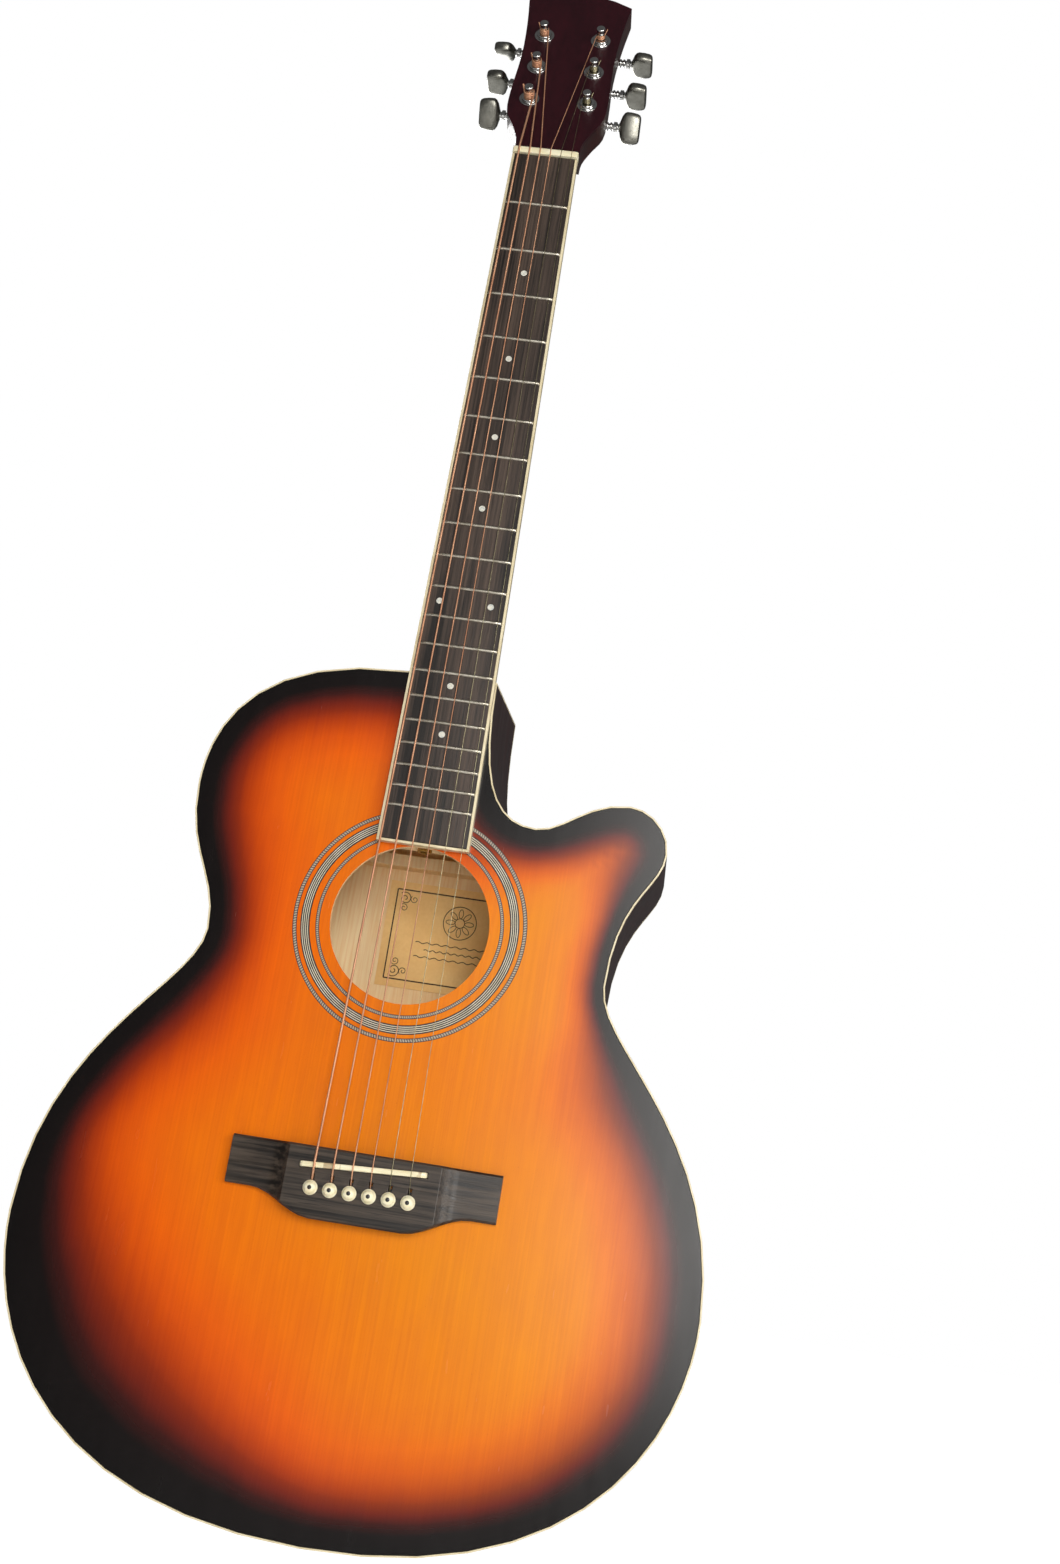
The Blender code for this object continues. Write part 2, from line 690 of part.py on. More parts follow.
def make_neck(frame):
    start = BODY_TOP_Z + GAP
    rings = []
    for i in range(9):
        z = start + (NUT_Z - start) * i / 8
        depth = NECK_DEPTH_AT_BODY + (NECK_DEPTH_AT_NUT - NECK_DEPTH_AT_BODY) * i / 8
        rings.append(neck_section(z, board_half_width(z), depth))
    rings.append(neck_section(HEAD_PIVOT_Z, NUT_HALF_WIDTH, 0.0158))
    rings.append(head_section(0.010, 0.0210, 0.0008, 0.0172))
    rings.append(head_section(0.022, 0.0200, 0.0010, 0.0152))
    rings.append(head_section(0.034, 0.0150, 0.0012, 0.0125))
    neck = add("neck", lofted("neck", rings, smooth=True), stained_mahogany())
    head = plate("head_slab", head_outline(0), level(0), level(HEAD_THICKNESS))
    boolean(neck, add_cutter("head_slab_part", head, frame), "UNION")
    boolean(neck, add_cutter("heel_part", heel()), "UNION")
    tenon = box(
        "tenon",
        (-TENON_HALF_WIDTH, TENON_FRONT_Y, body_z(TENON_DEPTH)),
        (TENON_HALF_WIDTH, TENON_BACK_Y, BODY_TOP_Z + 0.006),
    )
    boolean(neck, add_cutter("tenon_part", tenon), "UNION")
    half = ROD_RADIUS + GAP
    channel = box("rod_channel", (-half, -0.002, BODY_TOP_Z - 0.002), (half, ROD_Y + half, NUT_Z - 0.003))
    boolean(neck, add_cutter("rod_channel_cutter", channel))
    boolean(neck, add_cutter("post_holes", post_holes(-0.002, HEAD_THICKNESS + 0.01), frame))


def post_holes(front, back):
    circles = [circle(POST_HOLE_RADIUS, 14, side * POST_X, v) for side in (-1, 1) for v in POST_HEIGHTS]
    return plates("post_holes", circles, level(front), level(back))


def heel_slice(y, y_end):
    along = (y - HEEL_FRONT_Y) / (y_end - HEEL_FRONT_Y)
    reach = HEEL_CAP_REACH + (HEEL_ROOT_REACH - HEEL_CAP_REACH) * (1 - along) ** 2.6
    half = HEEL_CAP_HALF_WIDTH + (HEEL_ROOT_HALF_WIDTH - HEEL_CAP_HALF_WIDTH) * (1 - along) ** 1.4
    angles = [math.pi * i / NECK_STEPS for i in range(NECK_STEPS + 1)]
    base = BODY_TOP_Z + GAP
    return [(half * math.cos(a), base + reach * math.sin(a) ** 0.8 if 0 < i < NECK_STEPS else base)
            for i, a in enumerate(angles)]


def heel():
    y_end = DEPTH_AT_NECK - HEEL_CAP_THICKNESS
    rings = []
    for i in range(HEEL_SLICES + 1):
        y = HEEL_FRONT_Y + (y_end - HEEL_FRONT_Y) * i / HEEL_SLICES
        rings.append([(x, y, z) for x, z in heel_slice(y, y_end)])
    return lofted("heel", rings, smooth=True)


def make_heel_cap():
    y_end = DEPTH_AT_NECK - HEEL_CAP_THICKNESS
    data = plate("heel_cap", heel_slice(y_end, y_end), level(y_end + GAP), level(DEPTH_AT_NECK))
    add("heel_cap", data, rosewood())


def make_head_veneer(frame):
    outline = head_outline(0.0012)
    data = plate("head_veneer", outline, level(-VENEER_THICKNESS - GAP), level(-GAP))
    veneer = add("head_veneer", data, stained_mahogany(), frame)
    boolean(veneer, add_cutter("veneer_post_holes", post_holes(-0.004, 0.004), frame))


def make_fretboard():
    """The board with its frets standing on it, as one profile stretched across its width."""
    top = -BOARD_THICKNESS
    profile = [(-GAP, NUT_Z - GAP), (top, NUT_Z - GAP)]
    for number in range(1, FRET_COUNT + 1):
        z = NUT_Z - fret_drop(number)
        half = FRET_WIDTH / 2
        profile += [
            (top, z + half), (top - FRET_HEIGHT * 0.8, z + half / 2), (top - FRET_HEIGHT, z),
            (top - FRET_HEIGHT * 0.8, z - half / 2), (top, z - half),
        ]
    end = NUT_Z - BOARD_LENGTH + BOARD_BINDING_WIDTH + GAP
    profile += [(top, end), (-GAP, end)]
    margin = BOARD_BINDING_WIDTH + GAP
    rings = [[(side * (board_half_width(z) - margin), y, z) for y, z in profile] for side in (-1, 1)]
    add("fretboard", lofted("fretboard", rings), rosewood())
    end = NUT_Z - BOARD_LENGTH
    corners = [(-NUT_HALF_WIDTH, NUT_Z - GAP), (-BOARD_END_HALF_WIDTH, end),
               (BOARD_END_HALF_WIDTH, end), (NUT_HALF_WIDTH, NUT_Z - GAP)]
    lift = (0, BOARD_BINDING_WIDTH, BOARD_BINDING_WIDTH, 0)
    inner = [(x - math.copysign(BOARD_BINDING_WIDTH, x), z + up) for (x, z), up in zip(corners, lift)]
    data = ribbon("fretboard_binding", corners, inner, level(top), level(-GAP))
    add("fretboard_binding", data, cream())


def make_nut():
    data = box(
        "nut", (-NUT_HALF_WIDTH, NUT_TOP_Y, NUT_Z), (NUT_HALF_WIDTH, -GAP, NUT_Z + NUT_THICKNESS - GAP)
    )
    add("nut", data, bone())


def make_truss_rod():
    top = NUT_Z - 0.006
    nut_z = body_z(ROD_NUT_TOP_DROP)
    rod = add(
        "truss_rod", turned("truss_rod", [(ROD_RADIUS, nut_z - 0.007 - top), (ROD_RADIUS, 0)], 12), steel()
    )
    rod.location = (0, ROD_Y, top)
    hexagon = plate(
        "truss_rod_nut", circle(ROD_NUT_RADIUS, 6), level(0), level(ROD_NUT_LENGTH)
    )
    nut = add("truss_rod_nut", hexagon, brass())
    nut.location = (0, ROD_Y, nut_z)
    nut.rotation_euler = (-math.pi / 2, 0, 0)
    bore = plate("rod_nut_bore", circle(ROD_RADIUS + GAP, 12), level(-0.01), level(0.02))
    boolean(nut, add_cutter("rod_nut_bore_cutter", bore, nut))


# Bridge, saddle, pins and strings


def across(index, spread):
    return spread * (index / (len(STRINGS) - 1) - 0.5)


def pin_hole_cutter(name, slot_length):
    """Round holes with a slot towards the saddle, where each string comes up in front of its pin."""
    turn = math.asin(PIN_SLOT_HALF_WIDTH / PIN_HOLE_RADIUS)
    start = math.pi / 2 + turn
    sweep = 2 * math.pi - 2 * turn
    z = SCALE_END_Z + PIN_UP
    outlines = []
    for index in range(len(STRINGS)):
        x = across(index, PIN_SPREAD)
        round_part = [
            (x + PIN_HOLE_RADIUS * math.cos(start + sweep * i / 12),
             z + PIN_HOLE_RADIUS * math.sin(start + sweep * i / 12))
            for i in range(13)
        ]
        slot = [(x + PIN_SLOT_HALF_WIDTH, z + slot_length), (x - PIN_SLOT_HALF_WIDTH, z + slot_length)]
        outlines.append(round_part + slot)
    return add_cutter(name, plates(name, outlines, level(-0.02), level(0.02)))


def smooth_step(value, low, high):
    t = min(max((value - low) / (high - low), 0), 1)
    return t * t * (3 - 2 * t)


def bridge_lower_edge(x):
    return BRIDGE_BELLY_EDGE + (BRIDGE_WING_EDGE - BRIDGE_BELLY_EDGE) * smooth_step(abs(x), 0.026, 0.063)


def bridge_height(x):
    out = abs(x) - BRIDGE_BLOCK_HALF
    if out <= 0:
        return BRIDGE_MIDDLE_HEIGHT
    if out < BRIDGE_SCOOP:
        left = (1 - out / BRIDGE_SCOOP) ** 2
        return BRIDGE_WING_HEIGHT + (BRIDGE_MIDDLE_HEIGHT - BRIDGE_WING_HEIGHT) * left
    along = (out - BRIDGE_SCOOP) / (BRIDGE_HALF_LENGTH - BRIDGE_BLOCK_HALF - BRIDGE_SCOOP)
    return BRIDGE_WING_HEIGHT + (BRIDGE_TIP_HEIGHT - BRIDGE_WING_HEIGHT) * along


def make_bridge():
    scoop = [BRIDGE_BLOCK_HALF + BRIDGE_SCOOP * i / 5 for i in range(6)]
    stations = [0, 0.016, 0.026, 0.032, 0.037, 0.041, *scoop, 0.058, 0.063, BRIDGE_HALF_LENGTH]
    stations = [-x for x in reversed(stations[1:])] + stations
    chamfer = 0.0012
    rings = []
    for x in stations:
        upper = SCALE_END_Z + BRIDGE_UPPER_EDGE
        lower = SCALE_END_Z + bridge_lower_edge(x)
        height = bridge_height(x)
        rings.append([
            (x, -GAP, lower), (x, -height + chamfer, lower), (x, -height, lower + chamfer),
            (x, -height, upper - chamfer), (x, -height + chamfer, upper), (x, -GAP, upper),
        ])
    bridge = add("bridge", lofted("bridge", rings), rosewood())
    slot = box(
        "saddle_slot",
        (-SADDLE_LENGTH / 2 - GAP, -0.02, -SADDLE_THICKNESS / 2 - GAP),
        (SADDLE_LENGTH / 2 + GAP, SADDLE_FOOT_Y + GAP, SADDLE_THICKNESS / 2 + GAP),
    )
    cutter = add_cutter("saddle_slot_cutter", slot)
    place_saddle(cutter)
    boolean(bridge, cutter)
    boolean(bridge, pin_hole_cutter("bridge_pin_holes", PIN_SLOT_LONG))


def place_saddle(thing):
    """The saddle leans so that the bass strings are a little longer."""
    thing.location = (0, 0, SCALE_END_Z + SADDLE_UP)
    thing.rotation_euler = (0, -SADDLE_SLANT, 0)


def make_saddle():
    half = SADDLE_THICKNESS / 2
    end = SADDLE_LENGTH / 2
    profile = [(SADDLE_FOOT_Y, -half), (SADDLE_FOOT_Y, half), (SADDLE_TOP_Y + 0.0008, half),
               (SADDLE_TOP_Y, 0), (SADDLE_TOP_Y + 0.0008, -half)]
    saddle = add("saddle", lofted("saddle", [[(x, y, z) for y, z in profile] for x in (-end, end)]), bone())
    place_saddle(saddle)


def make_pins():
    surface = BRIDGE_MIDDLE_HEIGHT + GAP
    profile = [
        (0.0012, -PIN_END_Y), (PIN_SHANK_END, -PIN_END_Y + 0.001), (PIN_SHANK_TOP, surface - 0.0002),
        (PIN_HEAD_RADIUS * 0.9, surface), (PIN_HEAD_RADIUS, surface + 0.0008),
        (PIN_HEAD_RADIUS * 0.86, surface + PIN_HEAD_HEIGHT * 0.7),
        (PIN_HEAD_RADIUS * 0.45, surface + PIN_HEAD_HEIGHT),
    ]
    data = turned("bridge_pin", profile)
    for index, (name, _) in enumerate(STRINGS):
        pin = add("bridge_pin_" + name, data, bone())
        pin.location = (across(index, PIN_SPREAD), 0, SCALE_END_Z + PIN_UP)
        pin.rotation_euler = (math.pi / 2, 0, 0)


def post_place(index):
    """A string's post in the head's frame: bass strings run up one side, treble strings down the other."""
    per_side = len(POST_HEIGHTS)
    if index < per_side:
        return -1, POST_HEIGHTS[index]
    return 1, POST_HEIGHTS[len(STRINGS) - 1 - index]


def in_head(frame_x, w, v):
    """World position of a point given in the head's frame."""
    tilt_sin, tilt_cos = math.sin(HEAD_TILT), math.cos(HEAD_TILT)
    return (frame_x, v * tilt_sin + w * tilt_cos, HEAD_PIVOT_Z + v * tilt_cos - w * tilt_sin)


def saddle_z(x):
    return SCALE_END_Z + SADDLE_UP + x * math.tan(SADDLE_SLANT)


def string_route(index, radius):
    """From the ball under the bridge plate, up beside the pin, over saddle and nut, to the post."""
    side, v = post_place(index)
    pin_x = across(index, PIN_SPREAD)
    pin_z = SCALE_END_Z + PIN_UP
    saddle_x = across(index, SADDLE_SPREAD)
    nut_x = across(index, NUT_SPREAD)
    over_nut = NUT_TOP_Y - GAP - radius
    post_x = side * (POST_X - POST_RADIUS - radius - GAP)
    return [
        ((pin_x, 0.0125, pin_z + 0.0048), BALL_RADIUS),
        ((pin_x, 0.0090, pin_z + 0.0048), BALL_RADIUS),
        ((pin_x, 0.0070, pin_z + STRING_FROM_PIN), radius),
        ((pin_x, -0.0075, pin_z + STRING_FROM_PIN), radius),
        ((saddle_x, SADDLE_TOP_Y - GAP - radius, saddle_z(saddle_x)), radius),
        ((nut_x, over_nut, NUT_Z), radius),
        ((nut_x, over_nut, NUT_Z + NUT_THICKNESS), radius),
        (in_head(post_x, -STRING_ABOVE_FACE, v), radius),
    ]


def make_strings():
    for index, (name, radius) in enumerate(STRINGS):
        data = bpy.data.curves.new("string_" + name, "CURVE")
        data.dimensions = "3D"
        data.bevel_depth = 1.0
        data.bevel_resolution = 1
        data.use_fill_caps = True
        route = string_route(index, radius)
        spline = data.splines.new("POLY")
        spline.points.add(len(route) - 1)
        for point, (place, size) in zip(spline.points, route):
            point.co = (*place, 1)
            point.radius = size
        add("string_" + name, data, bronze_wire() if index < 4 else steel())


# Tuners


def post_mesh():
    profile = [
        (0.0028, -0.0250), (0.0028, -0.0222), (WHEEL_RADIUS, -0.0222), (WHEEL_RADIUS, -0.0172),
        (POST_RADIUS, -0.0172), (POST_RADIUS, POST_TIP - 0.0015), (0.0020, POST_TIP),
    ]
    return turned("tuner_post", profile)


def button_mesh():
    """Shaft, collar and button in one: (height, half thickness, half width) along the shaft's own Z."""
    sections = [
        (-0.0050, 0.0021, 0.0021), (0.0180, 0.0021, 0.0021), (0.0182, 0.0034, 0.0034),
        (0.0204, 0.0034, 0.0034), (0.0206, 0.0022, 0.0022), (0.0216, 0.0024, 0.0028),
        (0.0230, 0.0032, 0.0062), (0.0255, 0.0040, 0.0092), (0.0295, 0.0043, 0.0105),
        (0.0325, 0.0041, 0.0100), (0.0347, 0.0032, 0.0080), (0.0358, 0.0014, 0.0045),
    ]
    steps = 12
    angles = [2 * math.pi * i / steps for i in range(steps)]
    rings = [[(a * math.cos(t), b * math.sin(t), h) for t in angles] for h, a, b in sections]
    return lofted("tuner_button", rings, smooth=True)


def make_tuner(index, name, frame, post_data, button_data):
    side, v = post_place(index)
    middle = side * POST_X
    shaft_z = v + SHAFT_ABOVE_POST
    front = HEAD_THICKNESS + GAP
    outline = rectangle(middle - 0.0075, middle + 0.0075, v - 0.0075, v + 0.0130)
    housing = add(
        "tuner_housing_" + name, plate("tuner_housing", outline, level(front), level(0.0275)), nickel(), frame
    )
    well = turned("tuner_well", [
        (0.0031, -0.0255), (0.0031, -0.0228), (WHEEL_RADIUS + 0.0004, -0.0228),
        (WHEEL_RADIUS + 0.0004, -0.0166), (POST_HOLE_RADIUS, -0.0166), (POST_HOLE_RADIUS, -0.0130),
    ])
    well_cutter = add_cutter("tuner_well_cutter_" + name, well, frame)
    well_cutter.location = (middle, 0, v)
    well_cutter.rotation_euler = (math.pi / 2, 0, 0)
    boolean(housing, well_cutter)
    tunnel = turned("shaft_tunnel", [(SHAFT_RADIUS + GAP, -0.0055), (SHAFT_RADIUS + GAP, 0.0200)])
    tunnel_cutter = add_cutter("shaft_tunnel_cutter_" + name, tunnel, frame)
    tunnel_cutter.location = (middle, SHAFT_BACK, shaft_z)
    tunnel_cutter.rotation_euler = (0, side * math.pi / 2, 0)
    boolean(housing, tunnel_cutter)

    post = add("tuner_post_" + name, post_data, nickel(), frame)
    post.location = (middle, 0, v)
    post.rotation_euler = (math.pi / 2, 0, 0)

    button = add("tuner_button_" + name, button_data, nickel(), frame)
    button.location = (middle, SHAFT_BACK, shaft_z)
    button.rotation_mode = "ZYX"
    button.rotation_euler = (0, side * math.pi / 2, side * math.radians(BUTTON_TURNS[name]))


def make_tuners(frame):
    post_data = post_mesh()
    button_data = button_mesh()
    for index, (name, _) in enumerate(STRINGS):
        make_tuner(index, name, frame, post_data, button_data)


def main():
    clear_scene()
    make_plates()
    make_bindings()
    make_rims()
    make_linings()
    make_blocks()
    make_soundboard_braces()
    make_back_braces_and_label()
    make_end_pin()
    frame = head_frame()
    make_neck(frame)
    make_heel_cap()
    make_head_veneer(frame)
    make_fretboard()
    make_nut()
    make_truss_rod()
    make_bridge()
    make_saddle()
    make_pins()
    make_strings()
    make_tuners(frame)
    bpy.context.view_layer.update()


main()
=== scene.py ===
"""Looks for the acoustic guitar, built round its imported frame.

Metres, in the frame's own axes: +Z up the neck, -Y out of the soundboard, +X the treble side.
A shape that needs more detail than the CAD gives stands for its CAD node, and every surface has a
procedural material.
"""

import json
from math import atan2, copysign, cos, hypot, pi, radians, sin, tan

import bmesh
import bpy
from mathutils import Matrix, Vector
from mathutils.bvhtree import BVHTree

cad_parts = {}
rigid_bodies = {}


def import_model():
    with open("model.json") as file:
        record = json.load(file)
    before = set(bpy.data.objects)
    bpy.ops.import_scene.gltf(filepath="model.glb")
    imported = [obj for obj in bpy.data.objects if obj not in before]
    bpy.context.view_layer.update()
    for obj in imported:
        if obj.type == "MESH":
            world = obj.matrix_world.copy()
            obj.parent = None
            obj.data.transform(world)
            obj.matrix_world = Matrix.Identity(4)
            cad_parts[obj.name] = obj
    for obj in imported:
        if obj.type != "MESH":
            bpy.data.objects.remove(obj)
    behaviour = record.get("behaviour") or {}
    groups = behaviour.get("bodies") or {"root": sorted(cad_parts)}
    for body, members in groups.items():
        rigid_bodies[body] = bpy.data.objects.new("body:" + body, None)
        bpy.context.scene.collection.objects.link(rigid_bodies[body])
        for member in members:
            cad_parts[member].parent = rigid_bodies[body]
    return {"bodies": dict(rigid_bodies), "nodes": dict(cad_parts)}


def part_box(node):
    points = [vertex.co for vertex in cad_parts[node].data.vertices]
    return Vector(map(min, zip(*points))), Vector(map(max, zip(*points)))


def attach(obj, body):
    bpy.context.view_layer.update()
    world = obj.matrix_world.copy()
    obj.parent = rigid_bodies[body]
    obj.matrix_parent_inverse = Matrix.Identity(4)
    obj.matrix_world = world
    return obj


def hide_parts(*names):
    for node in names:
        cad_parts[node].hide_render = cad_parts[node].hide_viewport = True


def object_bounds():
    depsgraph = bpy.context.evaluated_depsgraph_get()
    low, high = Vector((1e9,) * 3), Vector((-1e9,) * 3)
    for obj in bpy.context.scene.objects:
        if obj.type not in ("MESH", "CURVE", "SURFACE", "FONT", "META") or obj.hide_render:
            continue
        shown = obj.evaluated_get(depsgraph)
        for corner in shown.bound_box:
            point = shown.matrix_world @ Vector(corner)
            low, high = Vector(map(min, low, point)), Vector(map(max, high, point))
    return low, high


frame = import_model()
cad_low, cad_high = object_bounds()
NODES = frame["nodes"]
BODIES = frame["bodies"]
ROOT = "guitar"

STRING_NAMES = ("low_e", "a", "d", "g", "b", "high_e")
STRING_RADII = (0.00067, 0.00053, 0.00041, 0.00031, 0.00021, 0.00017)
WOUND_COUNT = 4

# Places and sizes read from the frame
NUT_LOW, NUT_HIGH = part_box("nut")
NUT_Z = NUT_LOW.z
NUT_HALF_WIDTH = NUT_HIGH.x
BOARD_LOW, BOARD_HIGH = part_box("fretboard_binding")
BOARD_END_HALF_WIDTH = BOARD_HIGH.x
BOARD_TOP_Y = BOARD_LOW.y
BAND_LOW, BAND_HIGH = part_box("rosette_band")
HOLE_Z = (BAND_LOW.z + BAND_HIGH.z) / 2
BODY_LOW, BODY_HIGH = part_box("binding_top")
BODY_TOP_Z = BODY_HIGH.z
BACK_LOW, BACK_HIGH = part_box("binding_back")
SADDLE_LOW, SADDLE_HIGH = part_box("saddle")
SADDLE_Z = (SADDLE_LOW.z + SADDLE_HIGH.z) / 2

# Sizes the frame doesn't state
SCALE_LENGTH = 0.650
BOARD_CAMBER = 0.0005
BOARD_BINDING = 0.0016
FRET_COUNT = 20
FRET_WIDTH = 0.0021
FRET_HEIGHT = 0.0010
DOT_FRETS = (3, 5, 7, 9, 12, 15, 17)
DOUBLE_DOT_X = 0.0158
HEAD_TILT = radians(14)
HEAD_PIVOT_Z = NUT_Z + 0.0055
POST_X = 0.0195
POST_HEIGHTS = (0.048, 0.080, 0.112)
POST_RADIUS = 0.0030
POST_TIP = 0.0130
STRING_ABOVE_FACE = 0.0062
SADDLE_SLANT = radians(3.35)
PIN_SPREAD = 0.0555
SADDLE_SPREAD = 0.0545
NUT_SPREAD = 0.0347
PIN_Z = NUT_Z - SCALE_LENGTH - 0.0207
PLATE_THICKNESS = 0.0028
PAPER_THICKNESS = 0.0003
GAP = 0.0003  # air left between neighbouring pieces
FULL_TURN = 2 * pi
ACROSS, ALONG_NECK = 0, 2


def fret_z(number):
    return NUT_Z - SCALE_LENGTH * (1 - 2 ** (-number / 12))


def board_half_width(z):
    along = (NUT_Z - z) / (NUT_Z - BOARD_LOW.z)
    return NUT_HALF_WIDTH + (BOARD_END_HALF_WIDTH - NUT_HALF_WIDTH) * along


def board_y(x):
    """The fretboard's top face, which is slightly rounded across its width."""
    return BOARD_TOP_Y + BOARD_CAMBER * (x / BOARD_END_HALF_WIDTH) ** 2


def across(index, spread):
    return spread * (index / (len(STRING_NAMES) - 1) - 0.5)


def back_y(z):
    """The back's outer face, which falls away steadily towards the tail."""
    top_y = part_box("heel_cap")[1].y
    return top_y + (BACK_HIGH.y - top_y) * (BODY_TOP_Z - z) / (BODY_TOP_Z - BODY_LOW.z)


def in_head(x, depth, height):
    """World place of a point in the tilted head: depth goes back from its face, height runs up it."""
    sine, cosine = sin(HEAD_TILT), cos(HEAD_TILT)
    return Vector((x, height * sine + depth * cosine, HEAD_PIVOT_Z + height * cosine - depth * sine))


def turned_at(place, angle, axis):
    """Turns a shape about one axis, then moves it to a place."""
    return Matrix.Translation(place) @ Matrix.Rotation(angle, 4, axis)


def head_matrix():
    return turned_at((0, 0, HEAD_PIVOT_Z), -HEAD_TILT, "X")


def post_place(index):
    """A string's post: bass strings run up one side of the head, treble strings down the other."""
    if index < len(POST_HEIGHTS):
        return -1, POST_HEIGHTS[index]
    return 1, POST_HEIGHTS[len(STRING_NAMES) - 1 - index]


def blend_step(value, low, high):
    """Rises smoothly from 0 at the low value to 1 at the high one."""
    t = min(max((value - low) / (high - low), 0), 1)
    return t * t * (3 - 2 * t)


def near(value, centre, inner, outer):
    """1 within the inner distance of a centre, falling to 0 at the outer distance."""
    return blend_step(-abs(value - centre), -outer, -inner)


def circle(steps):
    """(cosine, sine) pairs at even steps round a full turn."""
    return [(cos(FULL_TURN * i / steps), sin(FULL_TURN * i / steps)) for i in range(steps)]


def half_circle(steps):
    """(cosine, sine) pairs from one side over the top to the other."""
    return [(cos(pi * i / steps), sin(pi * i / steps)) for i in range(steps + 1)]


# Materials


def shade(red, green, blue):
    """A linear colour from display values of 0 to 255."""
    channels = [c / 255 for c in (red, green, blue)]
    return (*[c / 12.92 if c <= 0.04 else ((c + 0.055) / 1.055) ** 2.4 for c in channels], 1)


class Surface:
    """A Principled material, with short ways to add texture nodes to it."""

    def __init__(self, name, **values):
        self.material = bpy.data.materials.new(name)
        self.material.use_nodes = True
        self.tree = self.material.node_tree
        self.shader = self.tree.nodes["Principled BSDF"]
        for key, value in values.items():
            self.shader.inputs[key.replace("_", " ")].default_value = value

    def node(self, kind, inputs=None, **settings):
        made = self.tree.nodes.new("ShaderNode" + kind)
        for key, value in settings.items():
            setattr(made, key, value)
        for key, value in (inputs or {}).items():
            self.feed(made.inputs[key], value)
        return made

    def feed(self, socket, value):
        if isinstance(value, bpy.types.NodeSocket):
            self.tree.links.new(value, socket)
        else:
            socket.default_value = value

    def place(self, per_metre):
        where = self.node("TexCoord").outputs["Object"]
        return self.node("Mapping", {"Vector": where, "Scale": per_metre}).outputs["Vector"]

    def noise(self, per_metre, detail=3.0, distortion=0.0):
        """Noise with this many features in a metre along each axis."""
        inputs = {"Vector": self.place(per_metre), "Scale": 1.0, "Detail": detail, "Distortion": distortion}
        return self.node("TexNoise", inputs).outputs["Fac"]

    def calculate(self, operation, *values):
        return self.node("Math", dict(enumerate(values)), operation=operation).outputs["Value"]

    def ramp(self, value, *stops):
        """Colours, or grey numbers, at positions along a value."""
        made = self.node("ValToRGB", {"Fac": value})
        elements = made.color_ramp.elements
        while len(elements) < len(stops):
            elements.new(0.5)
        for element, (position, color) in zip(elements, stops):
            element.position = position
            element.color = color if isinstance(color, tuple) else (color, color, color, 1)
        return made.outputs["Color"]

    def mix(self, factor, first, second, kind="MIX"):
        made = self.node("Mix", data_type="RGBA", blend_type=kind)
        self.feed(made.inputs[0], factor)
        self.feed(made.inputs[6], first)
        self.feed(made.inputs[7], second)
        return made.outputs[2]

    def ranged(self, value, low, high, to_low, to_high):
        inputs = {"Value": value, "From Min": low, "From Max": high, "To Min": to_low, "To Max": to_high}
        return self.node("MapRange", inputs).outputs["Result"]

    def blend(self, first, second, share=0.5):
        """Two greys added together, with this share of the second."""
        made = self.node("Mix", data_type="FLOAT")
        self.feed(made.inputs[0], share)
        self.feed(made.inputs[2], first)
        self.feed(made.inputs[3], second)
        return made.outputs[0]

    def tinted(self, color, value, low, high, share, tint, kind="MIX"):
        """A colour that takes on a share of a tint as a value goes from low to high."""
        return self.mix(self.ranged(value, low, high, 0.0, share), color, tint, kind)

    def worn_and_highlit_edges(self, color, light):
        """Sharp edges made a little lighter: partly wear, partly a painted highlight along them."""
        return self.tinted(color, self.node("NewGeometry").outputs["Pointiness"], 0.52, 0.62, 0.6, light)

    def finished(self, color, grain, smoothest, roughest, relief, strength, depth=0.0003):
        """The material, with its colour, a roughness that follows its grain, and a relief."""
        self.feed(self.shader.inputs["Base Color"], color)
        self.feed(self.shader.inputs["Roughness"], self.ranged(grain, 0.3, 0.7, smoothest, roughest))
        made = self.node("Bump", {"Height": relief, "Strength": strength, "Distance": depth})
        self.feed(self.shader.inputs["Normal"], made.outputs["Normal"])
        return self.material


def along_axis(axis, across_grain, along_grain):
    """Features in a metre across and along a grain that runs along one axis."""
    return tuple(along_grain if i == axis else across_grain for i in range(3))


def wood(name, dark, light, roughness, axis=ALONG_NECK, coat=0.0, pores=0.35, relief=0.25, wear_and_highlight=None,
         shine=0.5, contrast=0.14, wander=0.6):
    """Timber with broad streaks, fine growth lines and short open pores along its grain."""
    surface = Surface(name, Coat_Weight=coat, Coat_Roughness=0.16, Specular_IOR_Level=shine)
    streaks = surface.noise(along_axis(axis, 90, 5), 4.0, wander)
    lines = surface.noise(along_axis(axis, 650, 9), 3.0, 0.3)
    pore = surface.noise(along_axis(axis, 1500, 70), 1.0)
    figure = surface.blend(streaks, lines, 0.45)
    color = surface.ramp(figure, (0.5 - contrast, shade(*dark)), (0.5 + contrast, shade(*light)))
    pore_color = tuple(c * 0.25 for c in shade(*dark)[:3]) + (1,)
    color = surface.tinted(color, pore, 0.60, 0.70, pores, pore_color)
    # Lighter sharp edges: wear, and a painted highlight.
    if wear_and_highlight:
        color = surface.worn_and_highlit_edges(color, shade(*wear_and_highlight))
    return surface.finished(color, lines, roughness - 0.06, roughness + 0.08,
                            surface.blend(lines, pore, 0.5), relief)


